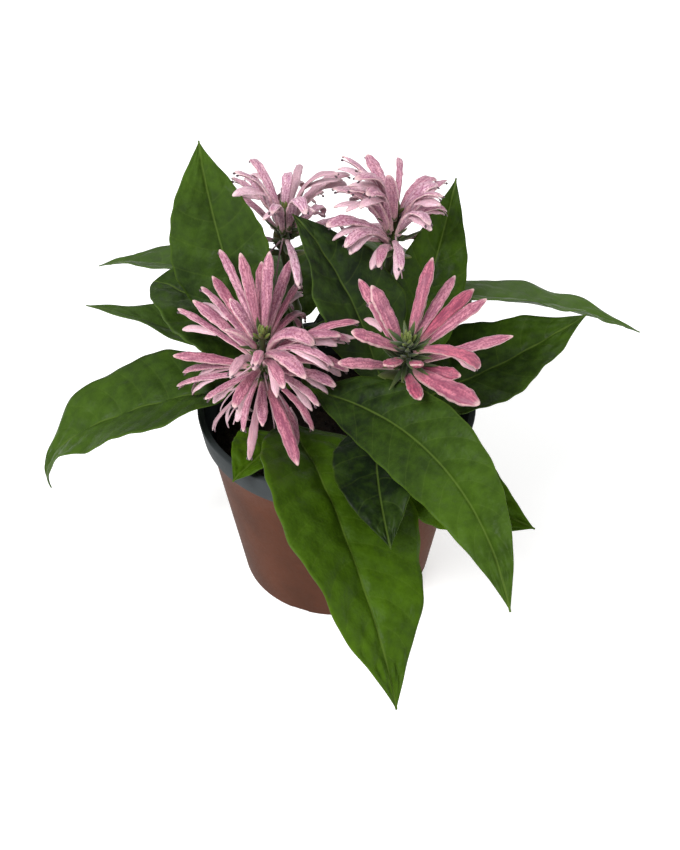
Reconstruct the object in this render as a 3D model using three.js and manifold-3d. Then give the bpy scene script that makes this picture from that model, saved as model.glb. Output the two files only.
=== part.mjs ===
// A potted Brazilian plume flower: four leafy stems, each ending in a head of pink two-lipped
// corollas, grown in a tapered plastic nursery pot. Millimetres, +Z up, -Y to the front and +X to
// the right. The origin is the centre of the pot's flat underside.
import * as THREE from "three";
import { mergeVertices } from "three/addons/utils/BufferGeometryUtils.js";
import Module from "manifold-3d";

const manifold = await Module();
manifold.setup();

// Pot: a 13 cm nursery pot with a collar under its rim and a notched foot.
const RIM_RADIUS = 65;
const POT_HEIGHT = 97;
const COLLAR_HEIGHT = 13;
const COLLAR_FOOT_RADIUS = 63.2;
const WALL_TOP_RADIUS = 60.6;
const BASE_RADIUS = 46.5;
const WALL = 1.6;
const FLOOR = 2.6;
const FOOT_CHAMFER = 1.2;
const POT_SIDES = 40;
const DRAIN = { count: 6, radius: 5, circle: 31, sides: 12 };
const NOTCH = { count: 8, width: 11, depth: 5, height: 1.3 };

// Soil: fills the pot to a finger's breadth below the rim, a little higher in the middle.
const SOIL_HEIGHT = 84;
const SOIL_CROWN = 3;
const SOIL_CRUMB = 0.9;

// Gap between pieces that touch on the real plant.
const GAP = 0.3;

// Depth of the facets that a join may drop.
const SMOOTHING = 0.1;

// Stems: where each leaves the soil, where its leafy part ends, and the lean and length of the
// flowering axis that carries on from there.
const STEM = { radius: 2.2, swelling: 0.7, depth: 30, bend: 1.4, sides: 6 };
const STEMS = {
  front_left: { foot: [-19, -14], top: [-32, -28, 130], lean: [0.04, -0.3], rachis: 34 },
  front_right: { foot: [17, -13], top: [29, -44, 146], lean: [0, -0.36], rachis: 25 },
  back_left: { foot: [-14, 15], top: [-23, 22, 164], lean: [0.03, -0.05], rachis: 24 },
  back_right: { foot: [14, 14], top: [25, 22, 164], lean: [0.06, -0.05], rachis: 24 },
};

// Corollas of each head, from the lowest up. Each row gives the share of the flowering axis where
// a corolla sits, its azimuth (0 to the right, 90 to the back) and its lean above the plane square
// to the axis, its length, how far it curls over along its length, its greatest half width, and
// whether its lips have parted. turn sets the azimuth of the first bract.
const [BUD, OPEN] = [false, true];
const HEADS = {
  front_left: {
    turn: 20,
    corollas: [
      [0.05, 205, -45, 36, 10, 2.0, OPEN], [0.05, 280, -5, 38, 10, 1.7, OPEN],
      [0.05, 305, -20, 32, 20, 1.9, OPEN], [0.08, 290, 0, 46, 10, 2.4, BUD],
      [0.10, 215, -70, 30, 30, 2.0, OPEN], [0.10, 270, 10, 28, 20, 1.9, BUD],
      [0.12, 190, -10, 36, 20, 2.1, OPEN], [0.12, 320, 0, 32, 15, 2.0, OPEN],
      [0.15, 60, -50, 34, 20, 2.0, BUD], [0.15, 245, -10, 26, 20, 2.0, OPEN],
      [0.20, 175, 10, 36, 20, 2.0, BUD], [0.20, 175, -45, 36, 50, 1.9, OPEN],
      [0.20, 330, 30, 36, 30, 2.4, OPEN], [0.20, 90, -45, 30, 20, 2.0, OPEN],
      [0.25, 165, -25, 36, 30, 2.0, OPEN], [0.25, 222, 10, 28, 20, 2.1, OPEN],
      [0.30, 20, -50, 43, 40, 2.0, BUD], [0.30, 310, 25, 36, 30, 2.2, OPEN],
      [0.35, 40, -5, 40, 20, 2.1, BUD], [0.35, 250, 25, 32, 30, 2.2, OPEN],
      [0.40, 30, -15, 36, 60, 2.0, OPEN], [0.40, 160, 25, 40, 20, 2.0, OPEN],
      [0.40, 345, 20, 38, 40, 2.2, OPEN], [0.45, 285, 45, 40, 60, 2.1, OPEN],
      [0.45, 75, -30, 38, 20, 2.0, OPEN], [0.50, 15, 35, 44, 35, 1.9, OPEN],
      [0.50, 155, 35, 36, 15, 2.1, BUD], [0.50, 235, 50, 30, 40, 2.3, OPEN],
      [0.50, 10, 25, 40, 50, 2.2, OPEN], [0.55, 325, 40, 43, 90, 2.2, OPEN],
      [0.60, 145, 35, 36, 15, 2.0, OPEN], [0.60, 350, 40, 38, 60, 2.3, OPEN],
      [0.60, 265, 60, 28, 30, 2.4, OPEN], [0.65, 300, 40, 40, 65, 2.7, BUD],
      [0.65, 130, 30, 36, 15, 2.1, BUD], [0.70, 110, 25, 46, 25, 1.8, OPEN],
      [0.70, 60, -20, 40, 80, 2.2, OPEN], [0.70, 65, 5, 43, 60, 2.0, OPEN],
      [0.75, 70, -10, 43, 50, 2.1, OPEN], [0.75, 335, 55, 34, 70, 2.8, OPEN],
      [0.80, 110, 60, 40, 10, 2.1, BUD], [0.80, 75, 15, 40, 20, 2.0, BUD],
      [0.80, 215, 60, 26, 30, 2.2, BUD], [0.85, 150, 60, 24, 20, 2.0, BUD],
      [0.85, 85, 50, 37, 10, 2.1, BUD], [0.90, 95, 30, 32, 10, 2.0, BUD],
    ],
  },
  front_right: {
    turn: 60,
    corollas: [
      [0.10, 60, -55, 32, 15, 2.0, BUD], [0.15, 280, 30, 26, 10, 2.3, BUD],
      [0.15, 340, 20, 22, 10, 2.2, BUD], [0.20, 200, 35, 33, 10, 2.1, BUD],
      [0.20, 15, 5, 44, 10, 2.0, BUD], [0.20, 315, 20, 38, 5, 3.7, BUD],
      [0.30, 95, -40, 32, 15, 2.0, BUD], [0.40, 135, 35, 26, 20, 1.9, OPEN],
      [0.50, 120, 10, 38, 5, 2.1, BUD], [0.50, 40, 5, 41, 5, 2.2, BUD],
      [0.50, 295, 50, 12, 10, 2.0, BUD], [0.60, 230, 35, 13, 10, 2.1, BUD],
      [0.60, 75, -10, 38, 10, 1.8, BUD], [0.65, 50, 0, 41, 5, 2.3, BUD],
      [0.70, 130, 50, 30, 10, 3.0, BUD], [0.70, 125, -25, 10, 5, 2.0, BUD],
      [0.75, 60, 0, 41, 5, 2.0, BUD], [0.80, 345, 5, 32, 90, 2.6, OPEN],
      [0.80, 75, 20, 38, 5, 2.2, BUD], [0.85, 190, 40, 26, 10, 2.6, BUD],
    ],
  },
  back_left: {
    turn: 200,
    corollas: [
      [0.10, 140, -20, 36, 25, 2.1, OPEN], [0.20, 60, -20, 36, 30, 2.1, OPEN],
      [0.20, 100, -25, 36, 25, 2.1, BUD], [0.30, 30, 0, 36, 40, 2.2, OPEN],
      [0.30, 125, 5, 41, 20, 1.7, OPEN], [0.35, 280, 15, 40, 20, 2.0, OPEN],
      [0.35, 50, 5, 30, 50, 2.3, OPEN], [0.40, 105, 5, 44, 20, 2.3, OPEN],
      [0.50, 120, 10, 44, 35, 2.4, OPEN], [0.50, 65, 5, 35, 60, 2.6, OPEN],
      [0.50, 250, 60, 34, 60, 2.6, OPEN], [0.60, 220, 65, 44, 30, 2.3, OPEN],
      [0.60, 300, 60, 36, 70, 2.6, OPEN], [0.70, 115, 20, 41, 40, 2.1, OPEN],
      [0.70, 345, 65, 41, 60, 2.2, OPEN], [0.70, 180, 50, 30, 50, 2.4, OPEN],
      [0.70, 20, 45, 36, 60, 2.4, OPEN], [0.80, 95, -10, 38, 50, 1.9, OPEN],
      [0.80, 80, 10, 38, 15, 2.1, OPEN], [0.85, 90, 55, 22, 60, 2.4, OPEN],
    ],
  },
  back_right: {
    turn: 310,
    corollas: [
      [0.10, 250, 30, 32, 30, 2.2, OPEN], [0.15, 140, -25, 36, 25, 2.1, OPEN],
      [0.20, 230, 35, 38, 50, 2.4, OPEN], [0.20, 35, -20, 28, 30, 2.2, OPEN],
      [0.20, 100, -25, 36, 25, 2.1, BUD], [0.30, 215, 35, 38, 40, 2.4, OPEN],
      [0.30, 270, 25, 40, 20, 1.6, OPEN], [0.30, 60, -5, 38, 60, 2.0, OPEN],
      [0.45, 50, 20, 38, 50, 2.0, OPEN], [0.50, 195, 50, 38, 40, 2.2, OPEN],
      [0.50, 120, 5, 41, 20, 2.6, OPEN], [0.50, 70, 0, 35, 30, 2.2, OPEN],
      [0.50, 300, 50, 34, 60, 2.6, OPEN], [0.50, 220, 55, 42, 50, 2.4, OPEN],
      [0.60, 230, 60, 41, 50, 2.8, OPEN], [0.60, 10, 30, 24, 60, 2.4, OPEN],
      [0.60, 195, 70, 34, 40, 2.8, OPEN], [0.70, 215, 65, 44, 45, 2.8, OPEN],
      [0.70, 65, 15, 35, 60, 2.4, OPEN], [0.70, 330, 60, 30, 60, 2.6, OPEN],
      [0.70, 160, 50, 40, 50, 2.4, OPEN], [0.80, 20, 55, 24, 60, 2.4, OPEN],
      [0.85, 100, 5, 44, 0, 2.1, OPEN], [0.90, 255, 60, 41, 10, 1.9, BUD],
      [0.90, 85, 15, 38, 30, 1.3, OPEN],
    ],
  },
};
const GOLDEN_ANGLE = 137.508;
const SLEEVE_WALL = 1.8;
const COROLLA_CLEARANCE = 0.7;
const BRACT = { count: 6, length: 13, width: 5.5, thickness: 0.8 };

// Leaves, in opposite pairs up each stem: the height z of the node, the heading of the blade
// (0 to the right, 90 to the back), its rise at the stem and fall at the tip in degrees, and its
// length and width. sweep turns the heading along the leaf and roll tips the blade about its
// midrib. bend above 1 keeps the droop for the tip, and taper draws the tip out.
const LEAF = { petiole: 12, sweep: 0, roll: 0, fold: 14, bend: 1.5, taper: 1.2 };
const BLADE_THICKNESS = 0.7;
const PETIOLE_RADIUS = 1.3;
const LEAVES = [
  ["upright_left", "front_left",
    { z: 126, heading: 116, rise: 46, fall: 86, length: 89, width: 46, sweep: 15, roll: -42, petiole: 22 }],
  ["front_right_long", "front_left",
    { z: 128, heading: 334, rise: 15, fall: -23, length: 146, width: 38, sweep: -56, roll: 24,
      bend: 1.24, taper: 1.12, petiole: 24 }],
  ["left_long", "front_left",
    { z: 128, heading: 168, rise: -18, fall: -106, length: 117, width: 61, sweep: 26,
      bend: 5, taper: 1.5 }],
  ["front_long", "front_left",
    { z: 107, heading: 290, rise: 5, fall: -55, length: 146, width: 68, roll: -19, petiole: 9 }],
  ["left_shoulder", "front_left",
    { z: 100, heading: 149, rise: 67, fall: -12, length: 72, width: 54, roll: -5,
      taper: 0.8, petiole: 22 }],
  ["rim_small", "front_left",
    { z: 91, heading: 247, rise: 24, fall: -12, length: 44, width: 30, sweep: -12, petiole: 8 }],
  ["upright_middle", "front_right",
    { z: 119, heading: 130, rise: 67, fall: 31, length: 84, width: 47, sweep: 14, petiole: 8 }],
  ["front_shaded", "front_right",
    { z: 112, heading: 259, rise: 10, fall: -25, length: 71, width: 38, sweep: 24, roll: 10,
      petiole: 15 }],
  ["upright_right", "front_right",
    { z: 113, heading: 61, rise: 38, fall: 52, length: 99, width: 35, sweep: 9, roll: 28, petiole: 9 }],
  ["right_wavy", "front_right",
    { z: 103, heading: 20, rise: 11, fall: 27, length: 96, width: 53, roll: 5, petiole: 10 }],
  ["front_right_low", "front_right",
    { z: 105, heading: 290, rise: 4, fall: 2, length: 79, width: 41, sweep: 34, roll: 46, petiole: 23 }],
  ["middle_back", "back_left",
    { z: 122, heading: 330, rise: 50, fall: 10, length: 34, width: 26, petiole: 5 }],
  ["left_thin", "back_left",
    { z: 136, heading: 156, rise: 13, fall: -26, length: 95, width: 38, roll: 14 }],
  ["back_left_high", "back_left",
    { z: 116, heading: 99, rise: 25, fall: -55, length: 88, width: 46 }],
  ["back_left_low", "back_left",
    { z: 104, heading: 124, rise: 20, fall: -58, length: 92, width: 46 }],
  ["left_low", "back_left",
    { z: 92, heading: 178, rise: 33, fall: 20, length: 99, width: 34, sweep: 10, roll: 9 }],
  ["right_arching", "back_right",
    { z: 142, heading: 16, rise: -8, fall: -28, length: 110, width: 38, sweep: -11, roll: -15,
      petiole: 24 }],
  ["back_right_high", "back_right",
    { z: 118, heading: 76, rise: 24, fall: -55, length: 90, width: 46 }],
  ["back_right_low", "back_right",
    { z: 104, heading: 58, rise: 20, fall: -60, length: 90, width: 46 }],
];

const COLOURS = {
  pot: { color: 0x6b4233, roughness: 0.75 },
  soil: { color: 0x1d1712, roughness: 1 },
  stem: { color: 0x4c6a2c, roughness: 0.6 },
  leaf: { color: 0x2f5a14, roughness: 0.45 },
  corolla: { color: 0xd99aae, roughness: 0.6 },
};

const { degToRad, lerp, smoothstep } = THREE.MathUtils;
const object = new THREE.Group();

function vector(x, y, z) {
  return new THREE.Vector3(x, y, z);
}

// Joins a closed mesh's shared vertices and drops the slivers at its poles.
function toSolid(geometry) {
  const bare = geometry.clone();
  bare.deleteAttribute("normal");
  bare.deleteAttribute("uv");
  const merged = mergeVertices(bare);
  const corners = merged.index.array;
  const triangles = [];
  for (let i = 0; i < corners.length; i += 3) {
    const [a, b, c] = corners.slice(i, i + 3);
    if (a !== b && b !== c && c !== a) triangles.push(a, b, c);
  }
  return new manifold.Manifold(new manifold.Mesh({
    numProp: 3,
    vertProperties: merged.attributes.position.array,
    triVerts: new Uint32Array(triangles),
  }));
}

function toGeometry(solid) {
  const { vertProperties, triVerts } = solid.getMesh();
  const geometry = new THREE.BufferGeometry();
  geometry.setAttribute("position", new THREE.BufferAttribute(vertProperties, 3));
  geometry.setIndex(new THREE.BufferAttribute(triVerts, 1));
  geometry.computeVertexNormals();
  return geometry;
}

function largestPiece(solid) {
  return solid.decompose().sort((a, b) => b.volume() - a.volume())[0];
}

function join(solids) {
  return manifold.Manifold.union(solids);
}

function addPiece(name, solid, finish) {
  const material = new THREE.MeshStandardMaterial({ metalness: 0, ...finish });
  const mesh = new THREE.Mesh(toGeometry(largestPiece(solid.simplify(SMOOTHING))), material);
  mesh.name = name;
  object.add(mesh);
}

// Closed body through rings of points. The first half of a ring is its upper side and the second
// half its underside, back again, and both sides are split into triangles alike.
function loft(rings) {
  const count = rings[0].length;
  const half = count / 2;
  const last = (rings.length - 1) * count;
  const index = [];
  for (let start = 0; start < last; start += count) {
    for (let j = 0; j < count; j++) {
      const a = start + j;
      const b = start + (j + 1) % count;
      const [c, d] = [a + count, b + count];
      if (j < half) index.push(a, b, d, a, d, c);
      else index.push(a, b, c, b, d, c);
    }
  }
  for (let j = 0; j + 1 < half; j++) {
    const k = count - 1 - j;
    index.push(j, k, k - 1, j, k - 1, j + 1);
    index.push(last + j, last + k - 1, last + k, last + j, last + j + 1, last + k - 1);
  }
  const geometry = new THREE.BufferGeometry();
  const positions = rings.flat().flatMap(point => point.toArray());
  geometry.setAttribute("position", new THREE.Float32BufferAttribute(positions, 3));
  geometry.setIndex(index);
  return toSolid(geometry);
}

// Ring of an oval section, wide along the station's side and high along its normal.
function ovalRing({ point, side, normal }, wide, high, sides) {
  return Array.from({ length: sides }, (_, j) => {
    const angle = Math.PI - (j + 0.5) * 2 * Math.PI / sides;
    return point.clone()
      .addScaledVector(side, wide * Math.cos(angle))
      .addScaledVector(normal, high * Math.sin(angle));
  });
}

// Direction and cross axes of a curve that points along a heading and a pitch in a given basis.
function frameAt(basis, heading, pitch) {
  const [h, p] = [degToRad(heading), degToRad(pitch)];
  const along = vector(Math.cos(h) * Math.cos(p), Math.sin(h) * Math.cos(p), Math.sin(p));
  const side = vector(Math.sin(h), -Math.cos(h), 0);
  along.applyMatrix4(basis);
  side.applyMatrix4(basis);
  return { along, side, normal: side.clone().cross(along) };
}

// Stations of a curve at the given shares of its length, from the middle direction of each step.
function walk({ start, basis, heading, pitch, length, shares }) {
  const point = start.clone();
  return shares.map((s, i) => {
    if (i > 0) {
      const middle = (s + shares[i - 1]) / 2;
      const step = (s - shares[i - 1]) * length;
      point.addScaledVector(frameAt(basis, heading(middle), pitch(middle)).along, step);
    }
    return { s, point: point.clone(), ...frameAt(basis, heading(s), pitch(s)) };
  });
}

const WORLD = new THREE.Matrix4();

// Centre of a stem at a height: it leaves the soil upright and leans out as it rises.
function stemCentre({ foot, top }, z) {
  const t = (z - SOIL_HEIGHT) / (top[2] - SOIL_HEIGHT);
  const k = Math.sign(t) * Math.abs(t) ** STEM.bend;
  return vector(lerp(foot[0], top[0], k), lerp(foot[1], top[1], k), z);
}

// Basis of a flower head: Z along the flowering axis, from the top of the leafy stem.
function headBasis({ lean }) {
  const axis = vector(lean[0], lean[1], 1).normalize();
  const x = vector(1, 0, 0).addScaledVector(axis, -axis.x).normalize();
  return new THREE.Matrix4().makeBasis(x, axis.clone().cross(x), axis);
}

function headPoint(stem, height) {
  return vector(...stem.top).addScaledVector(vector(0, 0, 1).applyMatrix4(headBasis(stem)), height);
}

// Stem with swollen nodes, carried on as the tapering flowering axis. grow thickens it evenly.
function stemSolid(name, grow = 0) {
  const stem = STEMS[name];
  const nodes = LEAVES.filter(([, owner]) => owner === name).map(([, , { z }]) => z);
  const heights = [SOIL_HEIGHT - STEM.depth - grow, SOIL_HEIGHT - 2, stem.top[2]];
  nodes.forEach(z => heights.push(z - 4, z, z + 3));
  const kept = heights.sort((a, b) => a - b).filter((z, i, all) => i === 0 || z - all[i - 1] > 1.5);
  const stations = kept.map(z => {
    const swell = Math.max(0, ...nodes.map(node => Math.exp(-(((z - node) / 3) ** 2))));
    return { point: stemCentre(stem, z), radius: STEM.radius + STEM.swelling * swell };
  });
  [0.35, 0.7, 1].forEach(share => {
    stations.push({ point: headPoint(stem, share * stem.rachis), radius: lerp(STEM.radius, 1.2, share) });
  });
  const rings = stations.map(({ point, radius }, i) => {
    const before = stations[Math.max(i - 1, 0)].point;
    const after = stations[Math.min(i + 1, stations.length - 1)].point;
    const along = after.clone().sub(before).normalize();
    const side = along.clone().cross(vector(0, 1, 0)).normalize();
    const normal = side.clone().cross(along);
    return ovalRing({ point, side, normal }, radius + grow, radius + grow, STEM.sides);
  });
  return loft(rings);
}

// Outline of a leaf: the share of its full half width at the share t of the blade.
function outline(t, taper) {
  const front = 0.85;
  const peak = front / (front + taper);
  return (t / peak) ** front * ((1 - t) / (1 - peak)) ** taper;
}

function leafStations(owner, given, shares) {
  const leaf = { ...LEAF, ...given };
  const { z, heading, sweep, rise, fall, bend, roll, petiole, length } = leaf;
  const stem = STEMS[owner];
  const stations = walk({
    start: stemCentre(stem, z).add(vector(Math.cos(degToRad(heading)), Math.sin(degToRad(heading)), 0)),
    basis: WORLD,
    heading: s => heading + sweep * s,
    pitch: s => rise + (fall - rise) * s ** bend,
    length: petiole + length,
    shares,
  });
  const [cos, sin] = [Math.cos(degToRad(roll)), Math.sin(degToRad(roll))];
  const stalk = petiole / (petiole + length);
  return stations.map(({ s, point, along, side, normal }) => ({
    t: Math.max(0, (s - stalk) / (1 - stalk)),
    point,
    along,
    side: side.clone().multiplyScalar(cos).addScaledVector(normal, -sin),
    normal: normal.clone().multiplyScalar(cos).addScaledVector(side, sin),
  }));
}

// Point of the blade's middle surface at u across it, from -1 to 1: folded up from the midrib,
// with a wavy margin.
function bladePoint(leaf, { t, point, side, normal }, u) {
  const { width, fold, taper } = { ...LEAF, ...leaf };
  const half = Math.max(width / 2 * outline(t, taper), PETIOLE_RADIUS * (1 - t) ** 2, 0.4);
  const crease = degToRad(fold) * smoothstep(t, 0, 0.15);
  const wave = 0.03 * width * u * u * Math.sin(Math.PI * t) * Math.sin(6.5 * Math.PI * t + Math.sign(u));
  return point.clone()
    .addScaledVector(side, half * u * Math.cos(crease))
    .addScaledVector(normal, half * Math.abs(u) * Math.sin(crease) + wave);
}

const LEAF_COLUMNS = [-1, -0.5, 0, 0.5, 1];
const BLADE_STEPS = [0, 0.07, 0.18, 0.31, 0.45, 0.59, 0.73, 0.87, 1];

function bladeShares(given) {
  const { petiole, length } = { ...LEAF, ...given };
  return [0, ...BLADE_STEPS.map(t => (petiole + t * length) / (petiole + length))];
}

function leafSolid(owner, given) {
  const rings = leafStations(owner, given, bladeShares(given)).map(station => {
    const { t, normal } = station;
    const rib = PETIOLE_RADIUS * (1 - t) ** 1.5;
    const surface = (u, sign) => {
      const half = BLADE_THICKNESS / 2 + Math.max(rib - BLADE_THICKNESS / 2, 0) * (1 - Math.abs(u)) ** 2;
      const lift = sign > 0 && t > 0 ? BLADE_THICKNESS / 2 : half;
      return bladePoint(given, station, u).addScaledVector(normal, sign * lift);
    };
    const upper = LEAF_COLUMNS.map(u => surface(u, 1));
    const under = LEAF_COLUMNS.map(u => surface(u, -1)).reverse();
    return [...upper, ...under];
  });
  return loft(rings);
}

// Triangles of a blade's middle surface, which the corollas keep clear of, with the half thickness
// of the leaf there.
function bladeTriangles(owner, given) {
  const stations = leafStations(owner, given, bladeShares(given));
  const rows = stations.map(station => [-1, 0, 1].map(u => bladePoint(given, station, u)));
  return rows.slice(1).flatMap((row, i) => [0, 1].flatMap(j => {
    const half = Math.max(BLADE_THICKNESS / 2, PETIOLE_RADIUS * (1 - stations[i].t) ** 1.5);
    return [
      { half, triangle: new THREE.Triangle(rows[i][j], rows[i][j + 1], row[j + 1]) },
      { half, triangle: new THREE.Triangle(rows[i][j], row[j + 1], row[j]) },
    ];
  }));
}

// Pot: a turned shell, with drain holes through its floor and notches under its edge.
function potSolid() {
  const shoulder = POT_HEIGHT - COLLAR_HEIGHT;
  const profile = [
    [0, 0], [BASE_RADIUS - FOOT_CHAMFER, 0], [BASE_RADIUS, FOOT_CHAMFER],
    [WALL_TOP_RADIUS, shoulder], [COLLAR_FOOT_RADIUS, shoulder + 0.6],
    [RIM_RADIUS, POT_HEIGHT - 0.8], [RIM_RADIUS - 0.8, POT_HEIGHT],
    [RIM_RADIUS - 2 * WALL + 0.6, POT_HEIGHT], [RIM_RADIUS - 2 * WALL, POT_HEIGHT - 0.6],
    [WALL_TOP_RADIUS - WALL, shoulder - 1.5], [BASE_RADIUS - WALL, FLOOR], [0, FLOOR],
  ].map(([x, y]) => new THREE.Vector2(x, y));
  let pot = toSolid(new THREE.LatheGeometry(profile, POT_SIDES).rotateX(Math.PI / 2));
  for (let i = 0; i < DRAIN.count; i++) {
    const turn = (i + 0.5) * 2 * Math.PI / DRAIN.count;
    const hole = new THREE.CylinderGeometry(DRAIN.radius, DRAIN.radius, 4 * FLOOR, DRAIN.sides);
    hole.rotateX(Math.PI / 2);
    hole.translate(DRAIN.circle * Math.cos(turn), DRAIN.circle * Math.sin(turn), FLOOR / 2);
    pot = pot.subtract(toSolid(hole));
  }
  for (let i = 0; i < NOTCH.count; i++) {
    const notch = new THREE.BoxGeometry(2 * NOTCH.depth, NOTCH.width, 2 * NOTCH.height);
    notch.translate(BASE_RADIUS, 0, 0).rotateZ((i + 0.5) * 2 * Math.PI / NOTCH.count);
    pot = pot.subtract(toSolid(notch));
  }
  return pot;
}

// Soil: a plug that follows the pot's wall, with a crumbly crown and a plain hole for each stem.
function soilSolid() {
  const rise = POT_HEIGHT - COLLAR_HEIGHT - FLOOR;
  const wallAt = z => lerp(BASE_RADIUS, WALL_TOP_RADIUS, (z - FLOOR) / rise) - WALL;
  const edge = SOIL_HEIGHT - SOIL_CROWN;
  const bottom = FLOOR + GAP;
  const radius = wallAt(edge) - 2 * GAP;
  const rings = [1, 0.86, 0.7, 0.5, 0.3, 0];
  const profile = [new THREE.Vector2(0, bottom), new THREE.Vector2(wallAt(bottom) - 2 * GAP, bottom)];
  rings.forEach(share => {
    profile.push(new THREE.Vector2(radius * share, edge + SOIL_CROWN * (1 - share ** 2)));
  });
  const geometry = new THREE.LatheGeometry(profile, 32).rotateX(Math.PI / 2);
  const { position } = geometry.attributes;
  for (let i = 0; i < position.count; i++) {
    const [x, y, z] = [position.getX(i), position.getY(i), position.getZ(i)];
    const inside = Math.min(1, (radius - Math.hypot(x, y)) / 6);
    const crumb = SOIL_CRUMB * inside * Math.sin(0.43 * x + 1) * Math.cos(0.37 * y + 0.11 * x);
    if (z > edge) position.setZ(i, z + crumb);
  }
  const holes = Object.keys(STEMS).map(name => stemSolid(name, GAP));
  return toSolid(geometry).subtract(join(holes));
}

// Corolla i of a head, as stations of its tube and of its lower lip where the lips have parted.
// raise and swing bend it clear of the foliage.
function corollaPath(name, i, raise, swing) {
  const [share, azimuth, lean, length, curl, girth, parted] = HEADS[name].corollas[i];
  const stem = STEMS[name];
  const basis = headBasis(stem);
  const heading = () => azimuth + swing;
  const pitch = s => lean + raise + 0.35 * curl - curl * s ** 1.3;
  const root = headPoint(stem, stem.rachis * (0.1 + 0.8 * share));
  const tube = walk({
    start: root.addScaledVector(frameAt(basis, heading(), 0).along, STEM.radius + 0.9),
    basis,
    heading,
    pitch,
    length,
    shares: [0, 0.25, 0.5, 0.8, 1],
  });
  const lip = parted ? walk({
    start: tube[2].point,
    basis,
    heading,
    pitch: s => pitch(0.5) - 15 - 50 * s,
    length: 0.45 * length,
    shares: [0, 0.5, 1],
  }) : [];
  return { tube, lip, parted, girth };
}

// Half width of a corolla along its tube: a slim tube that opens into a lip, or a plump bud.
const TUBE_GIRTH = { open: [0.45, 0.65, 0.9, 1, 0.55], bud: [0.4, 0.7, 0.95, 1, 0.5] };
const LIP_GIRTH = [0.6, 0.95, 0.6];

function corollaSolids({ tube, lip, parted, girth }, grow = 0) {
  const profile = parted ? TUBE_GIRTH.open : TUBE_GIRTH.bud;
  const solids = [loft(tube.map((station, k) => {
    const wide = girth * profile[k] + grow;
    return ovalRing(station, 1.15 * wide, 0.8 * wide, 4);
  }))];
  if (parted) {
    solids.push(loft(lip.map((station, k) => {
      return ovalRing(station, girth * LIP_GIRTH[k] + grow, 0.6 + grow, 4);
    })));
  }
  return solids;
}

// Spheres strung along a corolla, which stand for it when its clearance is worked out.
function corollaBeads({ tube, lip, parted, girth }) {
  const profile = parted ? TUBE_GIRTH.open : TUBE_GIRTH.bud;
  const string = (stations, widths) => stations.slice(1).flatMap(({ point }, k) => {
    return [1 / 3, 2 / 3, 1].map(share => ({
      point: stations[k].point.clone().lerp(point, share),
      radius: girth * lerp(widths[k], widths[k + 1], share),
    }));
  });
  return [...string(tube, profile), ...string(lip, LIP_GIRTH)];
}

const blades = LEAVES.map(([, owner, given]) => {
  const triangles = bladeTriangles(owner, given);
  const corners = triangles.flatMap(({ triangle: { a, b, c } }) => [a, b, c]);
  const sphere = new THREE.Sphere().setFromPoints(corners);
  return { triangles, sphere };
});
const stemLines = Object.values(STEMS).flatMap(stem => {
  const points = [0, 0.25, 0.5, 0.75, 1].map(k => {
    return stemCentre(stem, lerp(SOIL_HEIGHT, stem.top[2], k));
  });
  return points.slice(1).map((end, k) => ({ stem, line: new THREE.Line3(points[k], end) }));
});

// Whether a string of beads keeps clear of every blade, of the other stems and of other heads.
function isClear(beads, ownStem, others) {
  const nearest = new THREE.Vector3();
  return beads.every(({ point, radius }) => {
    const reach = radius + COROLLA_CLEARANCE;
    const misses = (target, size) => target.distanceTo(point) > reach + size;
    const offBlades = blades.every(({ triangles, sphere }) => {
      if (sphere.distanceToPoint(point) > reach + PETIOLE_RADIUS) return true;
      return triangles.every(({ half, triangle }) => {
        return misses(triangle.closestPointToPoint(point, nearest), half);
      });
    });
    const offStems = stemLines.every(({ stem, line }) => {
      if (stem === ownStem) return true;
      return misses(line.closestPointToPoint(point, true, nearest), STEM.radius + STEM.swelling);
    });
    return offBlades && offStems && others.every(bead => misses(bead.point, bead.radius));
  });
}

// The ways a corolla may turn aside, the least turn first.
const ASIDE = [[0, 0]];
for (let k = 1; k <= 16; k++) {
  ASIDE.push([3 * k, 0], [0, 4 * k], [0, -4 * k]);
  ASIDE.push([3 * k, 3 * k], [3 * k, -3 * k], [-3 * k, 0]);
}

const corollas = {};
const placed = [];
for (const name of Object.keys(HEADS)) {
  corollas[name] = [];
  const own = [];
  for (let i = 0; i < HEADS[name].corollas.length; i++) {
    for (const [raise, swing] of ASIDE) {
      const corolla = corollaPath(name, i, raise, swing);
      const beads = corollaBeads(corolla);
      if (!isClear(beads, STEMS[name], placed)) continue;
      corollas[name].push(corolla);
      own.push(...beads);
      break;
    }
  }
  placed.push(...own);
}

// Sleeve round the flowering axis that the roots of the corollas share.
function sleeveSolid(name, grow = 0) {
  const stem = STEMS[name];
  const inner = STEM.radius + GAP - grow;
  const outer = inner + SLEEVE_WALL + 2 * grow;
  const [bottom, top] = [0.08 * stem.rachis - grow, 0.9 * stem.rachis + grow];
  const corners = [[inner, bottom], [outer, bottom], [outer, top], [inner, top], [inner, bottom]];
  const profile = corners.map(([x, y]) => new THREE.Vector2(x, y));
  const geometry = new THREE.LatheGeometry(profile, 10).rotateX(Math.PI / 2);
  return toSolid(geometry.applyMatrix4(headBasis(stem).setPosition(...stem.top)));
}

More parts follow.
